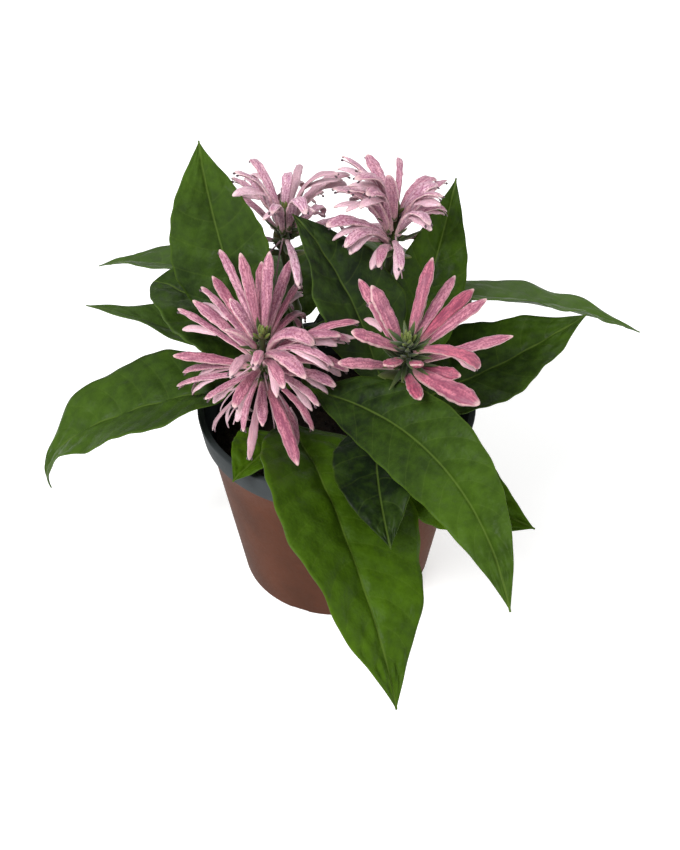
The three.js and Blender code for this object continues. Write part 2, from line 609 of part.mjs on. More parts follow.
// Bracts: a whorl under the corollas and a bud-like crown above them.
function bractSolids(name) {
  const stem = STEMS[name];
  const basis = headBasis(stem);
  return Array.from({ length: BRACT.count }, (_, i) => {
    const crown = i >= BRACT.count / 2;
    const azimuth = HEADS[name].turn + i * GOLDEN_ANGLE + (crown ? 40 : 0);
    const stations = walk({
      start: headPoint(stem, crown ? 0.93 * stem.rachis : 0.5),
      basis,
      heading: () => azimuth,
      pitch: s => (crown ? 62 + 20 * s : 4 + 30 * s),
      length: BRACT.length * (crown ? 0.8 : 1),
      shares: [0, 0.45, 1],
    });
    const wide = BRACT.width / 2 * (crown ? 0.6 : 1);
    return loft(stations.map((station, k) => {
      return ovalRing(station, wide * [0.5, 1, 0.15][k], BRACT.thickness, 4);
    }));
  });
}

addPiece("pot", potSolid(), COLOURS.pot);
addPiece("soil", soilSolid(), COLOURS.soil);
for (const name of Object.keys(STEMS)) {
  const grown = corollas[name].flatMap(corolla => corollaSolids(corolla, GAP));
  const green = join([stemSolid(name), ...bractSolids(name)]);
  const greenSeat = join([sleeveSolid(name, GAP), ...grown]);
  addPiece(`stem_${name}`, green.subtract(greenSeat), COLOURS.stem);
  const pink = join([sleeveSolid(name), ...corollas[name].flatMap(corolla => corollaSolids(corolla))]);
  addPiece(`corollas_${name}`, pink.subtract(stemSolid(name, GAP)), COLOURS.corolla);
}
for (const [name, owner, given] of LEAVES) {
  addPiece(`leaf_${name}`, leafSolid(owner, given).subtract(stemSolid(owner, GAP)), COLOURS.leaf);
}

export default object;
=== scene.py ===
import bmesh
import bpy
import numpy as np
from mathutils.bvhtree import BVHTree
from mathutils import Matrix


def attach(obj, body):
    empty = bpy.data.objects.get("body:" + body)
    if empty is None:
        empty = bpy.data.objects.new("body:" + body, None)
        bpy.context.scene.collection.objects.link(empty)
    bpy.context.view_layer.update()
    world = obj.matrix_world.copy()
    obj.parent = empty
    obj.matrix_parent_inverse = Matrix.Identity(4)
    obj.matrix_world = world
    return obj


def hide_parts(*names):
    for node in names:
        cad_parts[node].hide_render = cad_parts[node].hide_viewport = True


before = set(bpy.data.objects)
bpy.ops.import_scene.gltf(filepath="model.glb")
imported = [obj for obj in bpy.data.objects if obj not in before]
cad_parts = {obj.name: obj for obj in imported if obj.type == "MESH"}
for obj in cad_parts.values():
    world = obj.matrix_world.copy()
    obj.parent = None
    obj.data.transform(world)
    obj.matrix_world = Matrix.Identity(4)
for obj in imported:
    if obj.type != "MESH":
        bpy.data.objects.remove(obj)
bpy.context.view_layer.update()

# Camera: a product view from the front, looking down on the pot, near enough for the leaves that
# reach forward to look larger than those at the back.
VIEW_ELEVATION = 39.5
VIEW_DISTANCE = 0.65
VIEW_TARGET = np.array([0.0016, 0, 0.082])
SENSOR_WIDTH = 36
LENS = 58.02
camera = bpy.data.objects.new("camera", bpy.data.cameras.new("camera"))
bpy.context.scene.collection.objects.link(camera)
bpy.context.scene.camera = camera
camera.data.sensor_width = SENSOR_WIDTH
camera.data.lens = LENS
view_back = np.array([0, -np.cos(np.radians(VIEW_ELEVATION)), np.sin(np.radians(VIEW_ELEVATION))])
camera.location = VIEW_TARGET + VIEW_DISTANCE * view_back
camera.rotation_euler = (np.radians(90 - VIEW_ELEVATION), 0, 0)

# Pot: a thin injection-moulded nursery pot, terracotta-brown outside and charcoal inside and on
# its collar, where the two skins of plastic meet. The plastic is matt and a little uneven in
# tone. Water drains through holes in the floor and out by notches under the foot.
RIM_RADIUS = 65
POT_HEIGHT = 97
COLLAR_HEIGHT = 13
COLLAR_FOOT_RADIUS = 63.2
WALL_TOP_RADIUS = 60.6
BASE_RADIUS = 46.5
WALL = 1.6
FLOOR = 2.6
FOOT_ROUND = 1.2
EDGE_ROUND = 0.6
LIP_ROUND = 0.8
INNER_FOOT_ROUND = 1.5
# Heights of the rings that keep the shading of the straight walls even.
OUTER_RINGS = (14, 28, 42, 56, 70)
INNER_RINGS = (60, 40, 20)
POT_SIDES = 128
SHARP_ANGLE = 38
DRAIN_HOLES = 6
DRAIN_RADIUS = 5
DRAIN_CIRCLE = 31
DRAIN_SIDES = 28
NOTCHES = 8
NOTCH_HALF_WIDTH = 5.5
NOTCH_HEIGHT = 1.3
MM = 0.001


def smoothstep(x, low, high):
    """S-shaped ramp from 0 at low to 1 at high."""
    k = np.clip((x - low) / (high - low), 0, 1)
    return k * k * (3 - 2 * k)


def fill(tree, made, inputs):
    """Sets each named input of a node to a value, or links it to a socket."""
    for name, value in inputs.items():
        if isinstance(value, bpy.types.NodeSocket):
            tree.links.new(value, made.inputs[name])
        else:
            made.inputs[name].default_value = value


def node(tree, kind, inputs, **settings):
    """One shader node with its settings and its inputs."""
    made = tree.nodes.new(kind)
    for name, value in settings.items():
        setattr(made, name, value)
    fill(tree, made, inputs)
    return made


def calc(tree, operation, a, b=0.0, clamp=False):
    """A Math node's result."""
    return node(tree, "ShaderNodeMath", {0: a, 1: b}, operation=operation, use_clamp=clamp).outputs[0]


def blend(tree, share, a, b, most=1):
    """Colour a, changing towards colour b, as far as most, as the share goes from 0 to 1."""
    if most != 1:
        share = calc(tree, "MULTIPLY", share, most)
    return node(tree, "ShaderNodeMix", {0: share, 6: a, 7: b}, data_type="RGBA").outputs[2]


def ramp(tree, value, low, high):
    """S-shaped ramp of a value, from 0 at low to 1 at high, where low may be the greater."""
    inputs = {"Value": value, "From Min": low, "From Max": high}
    return node(tree, "ShaderNodeMapRange", inputs, interpolation_type="SMOOTHSTEP").outputs[0]


def span(tree, value, low, high):
    """A value from 0 to 1, spread evenly from low to high."""
    return node(tree, "ShaderNodeMapRange", {"Value": value, "To Min": low, "To Max": high}).outputs[0]


def relief(tree, height, strength, depth):
    """The bumpy normal of a surface whose height has the given depth, in metres."""
    inputs = {"Strength": strength, "Distance": depth, "Height": height}
    return node(tree, "ShaderNodeBump", inputs).outputs[0]


def mark(tree, name):
    """A value that is stored on the points of the piece."""
    return node(tree, "ShaderNodeAttribute", {}, attribute_name=name).outputs["Fac"]


def paint(r, g, b):
    """A colour picked as red, green and blue from 0 to 255, as the shader's linear colour."""
    c = np.array([r, g, b]) / 255
    linear = np.where(c <= 0.04045, c / 12.92, ((c + 0.055) / 1.055) ** 2.4)
    return (*linear.tolist(), 1)


def new_material(name):
    """A material with its Principled shader and its node tree."""
    material = bpy.data.materials.new(name)
    material.use_nodes = True
    tree = material.node_tree
    return material, tree, tree.nodes["Principled BSDF"]


def new_group(name, inputs, outputs):
    """A shader node group with float inputs of the given defaults and float outputs."""
    group = bpy.data.node_groups.new(name, "ShaderNodeTree")
    for label, value in inputs.items():
        socket = group.interface.new_socket(label, in_out="INPUT", socket_type="NodeSocketFloat")
        socket.default_value = value
    for label in outputs:
        group.interface.new_socket(label, in_out="OUTPUT", socket_type="NodeSocketFloat")
    return group, group.nodes.new("NodeGroupInput"), group.nodes.new("NodeGroupOutput")


def use_group(tree, group, values):
    """The outputs of a node group placed with its own values."""
    return node(tree, "ShaderNodeGroup", values, node_tree=group).outputs


def mottling_group():
    """Uneven tone: broad clouds with finer ones over them, Cloud from 0 to 1, and a fine Grain."""
    group, given, result = new_group("mottling", {"Scale": 30, "Grain Scale": 900}, ["Cloud", "Grain"])
    place = node(group, "ShaderNodeTexCoord", {}).outputs["Object"]
    cloud = node(group, "ShaderNodeTexNoise", {
        "Vector": place, "Scale": given.outputs["Scale"], "Detail": 5.0, "Roughness": 0.6})
    grain = node(group, "ShaderNodeTexNoise", {
        "Vector": place, "Scale": given.outputs["Grain Scale"], "Detail": 2.0})
    fill(group, result, {"Cloud": ramp(group, cloud.outputs[0], 0.3, 0.7), "Grain": grain.outputs[0]})
    return group


MOTTLING = mottling_group()


def pot_plastic():
    """Terracotta outside, charcoal inside and on the collar, by distance from the axis and height."""
    material, tree, shader = new_material("pot_plastic")
    place = node(tree, "ShaderNodeTexCoord", {}).outputs["Object"]
    x, y, z = node(tree, "ShaderNodeSeparateXYZ", {0: place}).outputs
    squares = calc(tree, "ADD", calc(tree, "MULTIPLY", x, x), calc(tree, "MULTIPLY", y, y))
    radius = calc(tree, "SQRT", squares)
    shoulder = POT_HEIGHT - COLLAR_HEIGHT
    slope = (WALL_TOP_RADIUS - BASE_RADIUS) / shoulder
    wall = calc(tree, "ADD", calc(tree, "MULTIPLY", z, slope), (BASE_RADIUS - 0.5 * WALL) * MM)
    outside = ramp(tree, calc(tree, "SUBTRACT", radius, wall), -0.0002, 0.0002)
    below_collar = ramp(tree, z, shoulder * MM, (shoulder - 0.6) * MM)
    tone = use_group(tree, MOTTLING, {"Scale": 22, "Grain Scale": 700})
    clay = blend(tree, tone["Cloud"], paint(66, 36, 22), paint(84, 46, 29))
    charcoal = blend(tree, tone["Cloud"], paint(38, 42, 43), paint(56, 60, 62))
    fill(tree, shader, {
        "Base Color": blend(tree, calc(tree, "MULTIPLY", outside, below_collar), charcoal, clay),
        "Roughness": span(tree, tone["Grain"], 0.5, 0.7),
        "Normal": relief(tree, tone["Grain"], 0.15, 0.0004),
        "Specular IOR Level": 0.08})
    return material


def arc(centre, radius, start, end, steps=5):
    """Points of a round edge, from one angle to the other."""
    a = np.radians(np.linspace(start, end, steps))
    return np.stack([centre[0] + radius * np.cos(a), centre[1] + radius * np.sin(a)], axis=1)


def pot_profile():
    """The pot's section: foot, tapered wall, collar with a rounded lip, and back down inside."""
    shoulder = POT_HEIGHT - COLLAR_HEIGHT
    inner_base, inner_top = BASE_RADIUS - WALL, WALL_TOP_RADIUS - WALL
    inner_lip = RIM_RADIUS - 2 * WALL + EDGE_ROUND
    return np.vstack([
        [[BASE_RADIUS - 3, 0]],
        arc((BASE_RADIUS - FOOT_ROUND, FOOT_ROUND), FOOT_ROUND, -90, -5),
        [[np.interp(z, [FOOT_ROUND, shoulder], [BASE_RADIUS, WALL_TOP_RADIUS]), z] for z in OUTER_RINGS],
        [[WALL_TOP_RADIUS, shoulder - 0.3], [WALL_TOP_RADIUS + 0.3, shoulder + 0.1]],
        arc((COLLAR_FOOT_RADIUS - EDGE_ROUND, shoulder + 1), EDGE_ROUND, -80, 0, 4),
        arc((RIM_RADIUS - LIP_ROUND, POT_HEIGHT - LIP_ROUND), LIP_ROUND, 0, 90),
        arc((inner_lip, POT_HEIGHT - EDGE_ROUND), EDGE_ROUND, 95, 175, 4),
        [[inner_top + 0.6, shoulder - 0.5], [inner_top, shoulder - 2]],
        [[np.interp(z, [FLOOR, shoulder], [inner_base, inner_top]), z] for z in INNER_RINGS],
        arc((inner_base - INNER_FOOT_ROUND, FLOOR + INNER_FOOT_ROUND), INNER_FOOT_ROUND, -5, -85, 4),
        [[DRAIN_CIRCLE + 8, FLOOR]],
    ])


def turns(count):
    """Angles that go round a circle in equal steps."""
    return np.arange(count) * 2 * np.pi / count


def level_ring(radius, angle, z):
    """Points at a radius and at angles round the Z axis, at height z."""
    return np.stack([radius * np.cos(angle), radius * np.sin(angle), z + 0 * angle], axis=-1)


def link_object(name, mesh):
    """A new object of a mesh, at the origin."""
    made = bpy.data.objects.new(name, mesh)
    bpy.context.scene.collection.objects.link(made)
    return made


def face_outwards(mesh):
    """Turns the faces of a mesh of closed bodies outwards and shades them smooth."""
    work = bmesh.new()
    work.from_mesh(mesh)
    bmesh.ops.recalc_face_normals(work, faces=work.faces)
    for face in work.faces:
        face.smooth = True
    work.to_mesh(mesh)
    work.free()


def loft_mesh(name, bodies):
    """A mesh of closed bodies, each given as (rings, marks): rows of rings of points in
    millimetres, joined round and along and capped at both ends, and values for its points."""
    faces = []
    first = 0
    for rings, _ in bodies:
        rows, count = rings.shape[:2]
        ring = np.arange(count)
        start = first + np.arange(rows - 1)[:, None] * count
        near, far = start + ring, start + (ring + 1) % count
        faces += np.stack([near, far, far + count, near + count], axis=-1).reshape(-1, 4).tolist()
        faces += [(first + ring)[::-1].tolist(), (first + (rows - 1) * count + ring).tolist()]
        first += rows * count
    mesh = bpy.data.meshes.new(name)
    vertices = np.concatenate([rings.reshape(-1, 3) for rings, _ in bodies]) * MM
    mesh.from_pydata(vertices.tolist(), [], faces)
    face_outwards(mesh)
    for key in bodies[0][1]:
        values = [np.broadcast_to(marks[key], rings.shape[:2]).ravel() for rings, marks in bodies]
        mesh.attributes.new(key, "FLOAT", "POINT").data.foreach_set("value", np.concatenate(values))
    return mesh


def finish_piece(piece, material, slot, *nodes):
    """Gives a piece its material, hides the parts of the model that it stands for and hangs it on the root
    body. The slot is not used.
    """
    piece.data.materials.append(material)
    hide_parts(*nodes)
    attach(piece, "root")


def cut(piece, bodies):
    """Cuts closed bodies out of a piece."""
    cutter = link_object("cutter", loft_mesh("cutter", bodies))
    modifier = piece.modifiers.new("cut", "BOOLEAN")
    modifier.object = cutter
    modifier.operation = "DIFFERENCE"
    modifier.solver = "EXACT"
    depsgraph = bpy.context.evaluated_depsgraph_get()
    piece_mesh = bpy.data.meshes.new_from_object(piece.evaluated_get(depsgraph))
    piece.modifiers.clear()
    piece.data = piece_mesh
    bpy.data.objects.remove(cutter)


def pot_cuts():
    """Drain holes through the floor and shallow notches under the foot, as rings of points."""
    hole = level_ring(DRAIN_RADIUS, turns(DRAIN_SIDES), 0)
    bodies = []
    for turn in turns(DRAIN_HOLES) + np.pi / DRAIN_HOLES:
        centre = level_ring(DRAIN_CIRCLE, turn, 0)
        bodies.append((np.stack([centre + hole + [0, 0, z] for z in (-3, 2 * FLOOR)]), {}))
    across = np.linspace(-1, 1, 9)
    height = NOTCH_HEIGHT * np.sqrt(1 - across ** 4)
    section = np.vstack([np.c_[across, height], [[1, -2], [-1, -2]]]) * [NOTCH_HALF_WIDTH, 1]
    for turn in turns(NOTCHES) + np.pi / NOTCHES:
        out = level_ring(1, turn, 0)
        along = level_ring(1, turn + np.pi / 2, 0)
        ring = section[:, :1] * along + section[:, 1:] * [0, 0, 1]
        bodies.append((np.stack([ring + r * out for r in (BASE_RADIUS - 5, BASE_RADIUS + 4)]), {}))
    return bodies


pot_rings = level_ring(pot_profile()[:, :1], turns(POT_SIDES), pot_profile()[:, 1:])
pot = link_object("nursery_pot", loft_mesh("nursery_pot", [(pot_rings, {})]))
cut(pot, pot_cuts())
pot.data.set_sharp_from_angle(angle=np.radians(SHARP_ANGLE))
finish_piece(pot, pot_plastic(), "pot_plastic", "pot")

# Soil: dark peat-based potting mix, filled to a finger's breadth below the rim. It is crumbly,
# with bits of bark and a few grains of perlite, and a little higher in the middle.
SOIL_HEIGHT = 84
SOIL_CROWN = 3
SOIL_RADIUS = 57.5
SOIL_BOTTOM_RADIUS = 44
SOIL_SIDES = 150
SOIL_RINGS = 46
CRUMBS = 900
CRUMB_SIZE = (0.4, 1.7)
PERLITE = 16
PERLITE_SIZE = (0.7, 1.2)


def potting_soil():
    """Dark mix whose grains differ in tone, with pale perlite where the points say so."""
    material, tree, shader = new_material("potting_soil")
    tone = use_group(tree, MOTTLING, {"Scale": 160, "Grain Scale": 1500})
    dark = blend(tree, tone["Cloud"], paint(12, 9, 7), paint(38, 27, 19))
    fill(tree, shader, {
        "Base Color": blend(tree, mark(tree, "pale"), dark, paint(140, 132, 116)),
        "Roughness": 0.95,
        "Normal": relief(tree, tone["Grain"], 0.6, 0.0006),
        "Specular IOR Level": 0.2})
    return material


def soil_surface(x, y):
    """Height of the soil: a low crown with lumps of three sizes."""
    share = np.hypot(x, y) / SOIL_RADIUS
    lumps = 0.8 * np.sin(0.43 * x + 1) * np.cos(0.37 * y + 0.11 * x)
    lumps += 0.45 * np.sin(1.1 * x + 0.7 * y) * np.sin(0.9 * y - 0.6 * x + 2)
    lumps += 0.25 * np.sin(2.9 * x - 1.3 * y + 1) * np.cos(2.3 * y + 0.9 * x)
    crown = SOIL_HEIGHT - SOIL_CROWN + SOIL_CROWN * (1 - share ** 2)
    return crown + lumps * np.clip((1 - share) * 9, 0, 1)


def soil_body():
    """The plug of soil: rings up its side and then inwards over its top."""
    angle = turns(SOIL_SIDES)
    side = [(SOIL_BOTTOM_RADIUS, FLOOR + 0.4), (SOIL_RADIUS - 0.3, SOIL_HEIGHT - SOIL_CROWN - 1)]
    rings = [level_ring(r, angle, z) for r, z in side]
    for r in np.linspace(SOIL_RADIUS, 1, SOIL_RINGS):
        rings.append(level_ring(r, angle, soil_surface(r * np.cos(angle), r * np.sin(angle))))
    return np.stack(rings), {"pale": 0.0}


def crumb_bodies(rng):
    """Small lumps strewn over the soil, each a squashed ball of three rings; some are perlite."""
    angle = turns(6)
    bodies = []
    for i in range(CRUMBS + PERLITE):
        pale = i >= CRUMBS
        size = rng.uniform(*(PERLITE_SIZE if pale else CRUMB_SIZE))
        r, turn = (SOIL_RADIUS - 2) * np.sqrt(rng.uniform(0.001, 1)), rng.uniform(0, 2 * np.pi)
        x, y = r * np.cos(turn), r * np.sin(turn)
        stretch = rng.uniform(0.6, 1.5)
        rings = []
        for level, wide in ((-0.6, 0.6), (0, 1), (0.55, 0.55)):
            ring = level_ring(wide * size * rng.uniform(0.8, 1.15, 6), angle, 0) * [stretch, 1, 1]
            rings.append(ring + [x, y, soil_surface(x, y) + 0.2 * size + level * 0.8 * size])
        bodies.append((np.stack(rings), {"pale": float(pale)}))
    return bodies


rng = np.random.default_rng(11)
soil = link_object("potting_soil", loft_mesh("potting_soil", [soil_body(), *crumb_bodies(rng)]))
finish_piece(soil, potting_soil(), "soil", "soil")

# Stems: four upright green stems, thickest at the nodes where the leaves sit, each carried on as
# a tapering flowering axis with small pointed bracts. They are faintly ribbed and downy, and
# paler at the nodes.
STEM_RADIUS = 2.2
STEM_SKIN_RADIUS = 0.96 * STEM_RADIUS
STEM_SWELLING = 0.7
SWELLING_REACH = 2.4
AXIS_TIP_RADIUS = 1.2
STEM_SIDES = 16
STEM_STEP = 1.2
RIBS = 4
RIB_HEIGHT = 0.05
STEM_DEPTH = 30
STEM_BEND = 1.4
# Where each stem crosses the soil, where its leafy part ends, and the lean and length of the
# flowering axis that carries on from there.
STEMS = {
    "front_left": dict(foot=(-19, -14), top=(-32, -28, 130), lean=(0.04, -0.3), rachis=34),
    "front_right": dict(foot=(17, -13), top=(29, -44, 146), lean=(0, -0.36), rachis=25),
    "back_left": dict(foot=(-14, 15), top=(-23, 22, 164), lean=(0.03, -0.05), rachis=24),
    "back_right": dict(foot=(14, 14), top=(25, 22, 164), lean=(0.06, -0.05), rachis=24),
}
# Heights of the nodes that bear the leaves of the next section.
LEAF_NODES = {
    "front_left": (91, 100, 107, 126, 128),
    "front_right": (103, 105, 112, 113, 119),
    "back_left": (92, 104, 116, 122, 136),
    "back_right": (104, 118, 142),
}


def stem_centre(stem, z):
    """Centre of a stem at heights z: it leaves the soil upright and leans out as it rises."""
    z = np.asarray(z, dtype=float)
    t = (z - SOIL_HEIGHT) / (stem["top"][2] - SOIL_HEIGHT)
    k = (np.sign(t) * np.abs(t) ** STEM_BEND)[..., None]
    foot, top = np.array(stem["foot"]), np.array(stem["top"][:2])
    return np.concatenate([foot + (top - foot) * k, z[..., None]], axis=-1)


def unit(v):
    """The vector, or each row of vectors, at length 1."""
    return v / np.linalg.norm(v, axis=-1, keepdims=True)


def head_basis(stem):
    """Rows X, Y and Z of a flower head's own axes, with Z along the flowering axis."""
    axis = unit(np.array([*stem["lean"], 1.0]))
    x = unit(np.array([1.0, 0, 0]) - axis * axis[0])
    return np.stack([x, np.cross(axis, x), axis])


def head_point(stem, height):
    """Point of the flowering axis at a height above the top of the leafy stem."""
    return np.array(stem["top"]) + np.asarray(height)[..., None] * head_basis(stem)[2]


def section_turns(count):
    """Angles of the points of a ring, half a step off its left side and then over its top."""
    return np.pi - (np.arange(count) + 0.5) * 2 * np.pi / count


def offset_rings(points, side, normal, across, up):
    """Rings round the points of a curve, given by how far they reach across and up from it."""
    return points[:, None] + across[..., None] * side[:, None] + up[..., None] * normal[:, None]


def rings_along(points, side, normal, wide, high, count):
    """Oval rings round the points of a curve: wide along the side and high along the normal."""
    angle = section_turns(count)
    return offset_rings(points, side, normal, wide[:, None] * np.cos(angle), high[:, None] * np.sin(angle))


def curve_axes(points):
    """Side and normal of each point of a curve that runs roughly upwards."""
    along = unit(np.gradient(points, axis=0))
    side = unit(np.cross(along, [0, 1.0, 0]))
    return side, np.cross(side, along)


def stem_body(name):
    """A stem as a ribbed tube with a soft swelling at each node, and its flowering axis."""
    stem = STEMS[name]
    heights = np.arange(SOIL_HEIGHT - STEM_DEPTH + 0.5, stem["top"][2], STEM_STEP)
    beyond = np.linspace(0, 1, 16)
    points = np.concatenate([stem_centre(stem, heights), head_point(stem, beyond * stem["rachis"])])
    swell = np.exp(-((heights[:, None] - LEAF_NODES[name]) / SWELLING_REACH) ** 2).max(axis=1)
    radius = np.concatenate([
        STEM_SKIN_RADIUS + STEM_SWELLING * swell,
        np.interp(beyond, [0, 1], [STEM_SKIN_RADIUS, AXIS_TIP_RADIUS]),
    ])
    side, normal = curve_axes(points)
    ribbed = radius[:, None] * (1 + RIB_HEIGHT * np.cos(RIBS * turns(STEM_SIDES)))
    angle = section_turns(STEM_SIDES)
    rings = offset_rings(points, side, normal, ribbed * np.cos(angle), ribbed * np.sin(angle))
    knot = np.concatenate([swell, np.zeros(len(beyond))])[:, None]
    return rings, {"knot": knot, "tip": 0.0, "young": 0.3}


def stem_green():
    """Green of stems, bracts and calyces: paler at the knots and tips, and yellower where young."""
    material, tree, shader = new_material("stem_green")
    tone = use_group(tree, MOTTLING, {"Scale": 120, "Grain Scale": 1400})
    green = blend(tree, tone["Cloud"], paint(22, 40, 10), paint(40, 62, 18))
    green = blend(tree, mark(tree, "knot"), green, paint(84, 104, 48), 0.5)
    green = blend(tree, mark(tree, "young"), green, paint(92, 104, 18))
    green = blend(tree, mark(tree, "tip"), green, paint(112, 124, 50), 0.6)
    fill(tree, shader, {
        "Base Color": green,
        "Roughness": 0.5,
        "Normal": relief(tree, tone["Grain"], 0.25, 0.0003),
        "Sheen Weight": 0.15})
    return material


STEM_GREEN = stem_green()
GOLDEN_ANGLE = 137.508
HEAD_TURN = {"front_left": 20, "front_right": 60, "back_left": 200, "back_right": 310}
# The bracts of each head, from the lowest up: a whorl of broad ones under the corollas, narrow
# ones between them, and a crown of bud-like ones on top, some younger and yellower than others.
WHORL_BRACTS = 3
BETWEEN_BRACTS = {"front_left": 9, "front_right": 46, "back_left": 7, "back_right": 7}
CROWN_BUDS = {"front_left": 10, "front_right": 10, "back_left": 4, "back_right": 4}
CROWN_YOUTH = {"front_left": 0.6, "front_right": 0.3, "back_left": 0.35, "back_right": 0.35}
WHORL_LENGTH = 13
WHORL_HALF_WIDTH = 2.75
BUD_GIRTH = 0.95
NARROW_LENGTH = 13.5
NARROW_HALF_WIDTH = 1.35
BRACT_SHARES = np.linspace(0, 1, 9)
BRACT_SIDES = 8


def directions(basis, heading, pitch):
    """Unit vectors along a heading and a pitch in a basis, to the right of it, and square to both."""
    h, p = np.radians(np.broadcast_arrays(heading, pitch))
    along = np.stack([np.cos(h) * np.cos(p), np.sin(h) * np.cos(p), np.sin(p)], axis=-1) @ basis
    side = np.stack([np.sin(h), -np.cos(h), 0 * h], axis=-1) @ basis
    return along, side, np.cross(side, along)


def steady(angle):
    """An angle that stays the same along a curve, as a function of the share of its length."""
    return lambda s: angle + 0 * s


def walk(start, basis, heading, pitch, length, shares):
    """Points of a curve whose heading and pitch are functions of the share of its length: each
    step goes the way that holds at its middle. Returns them with their sides and normals."""
    middle = (shares[1:] + shares[:-1]) / 2
    steps = directions(basis, heading(middle), pitch(middle))[0] * np.diff(shares)[:, None] * length
    points = start + np.concatenate([np.zeros((1, 3)), np.cumsum(steps, axis=0)])
    _, side, normal = directions(basis, heading(shares), pitch(shares))
    return points, side, normal


def bract(start, basis, azimuth, pitch, length, wide, high, tip, young):
    """A bract with half widths and half thicknesses given at its shares. Its pitch is a function
    of the share of its length."""
    path = walk(start, basis, steady(azimuth), pitch, length, BRACT_SHARES)
    return rings_along(*path, wide, high, BRACT_SIDES), {"knot": 0.0, "tip": tip, "young": young}


def bract_bodies(name):
    """The whorl of broad bracts, the crown of bud-like ones and the narrow ones between."""
    stem = STEMS[name]
    basis = head_basis(stem)
    shares = BRACT_SHARES
    outline = np.sin(np.pi * np.clip(shares * 0.92 + 0.08, 0, 1)) ** 0.8
    bodies = []
    for i in range(WHORL_BRACTS):
        azimuth = HEAD_TURN[name] + i * GOLDEN_ANGLE
        bodies.append(bract(
            head_point(stem, 0.5), basis, azimuth, lambda s: 4 + 30 * s, WHORL_LENGTH,
            WHORL_HALF_WIDTH * outline + 0.15, 0.35 + 0 * shares, shares[:, None], 0.15))
    buds = CROWN_BUDS[name]
    girth = BUD_GIRTH * np.sin(np.pi * np.clip(0.1 + 0.9 * shares, 0, 1)) ** 0.7 + 0.12
    for i in range(buds):
        low = 1 - i / buds
        azimuth = HEAD_TURN[name] + i * GOLDEN_ANGLE + 40
        bodies.append(bract(
            head_point(stem, stem["rachis"] * (0.88 + 0.1 * (1 - low))), basis, azimuth,
            lambda s: 84 - 50 * low + 26 * s, 3.5 + 0.3 * buds,
            girth, 0.8 * girth, shares[:, None], CROWN_YOUTH[name]))
    girth = NARROW_HALF_WIDTH * outline * (1 - 0.5 * shares) + 0.1
    for i in range(BETWEEN_BRACTS[name]):
        level = (i + 0.5) / BETWEEN_BRACTS[name]
        azimuth = HEAD_TURN[name] + i * GOLDEN_ANGLE + 75
        radial = directions(basis, azimuth, 0)[0]
        bodies.append(bract(
            head_point(stem, stem["rachis"] * (0.2 + 0.75 * level)) + 1.6 * radial, basis, azimuth,
            lambda s: 45 * level + 20 * np.sin(4 * i) + 20 * s, NARROW_LENGTH - 5 * level,
            girth, 0.35 * girth + 0.1, 0.6 * shares[:, None] ** 2, 0.0))
    return bodies


for name in STEMS:
    piece_name = f"green_stem_{name}"
    mesh = loft_mesh(piece_name, [stem_body(name), *bract_bodies(name)])
    finish_piece(link_object(piece_name, mesh), STEM_GREEN, "stem_green", f"stem_{name}")

# Leaves: deep green with a satin shine, egg-shaped with a drawn-out tip. The midrib is sunk above
# and stands out below, and arching side veins part the blade into shallow pillows. Each leaf
# grows from its stem on a channelled stalk.
PETIOLE_RADIUS = 1.3
LEAF_FRONT = 0.85
STALK_STATIONS = 12
BLADE_STATIONS = 100
BLADE_ACROSS = 31
GROOVE_DEPTH = 0.5
GROOVE_REACH = 0.8
MIDRIB_REACH = 1.5
# Heights of the blade's relief, as shares of the leaf's width.
WAVE = 0.03
PILLOW = 0.017
DIMPLE = 0.01
ROCKING = 0.018
CRINKLE = 0.012
# What a leaf has unless its own row says otherwise: the length of its stalk, how far it sweeps
# sideways, rolls and folds in degrees, how late it bends down, and how drawn out its tip is.
LEAF = dict(petiole=12, sweep=0, roll=0, fold=14, bend=1.5, taper=1.2)
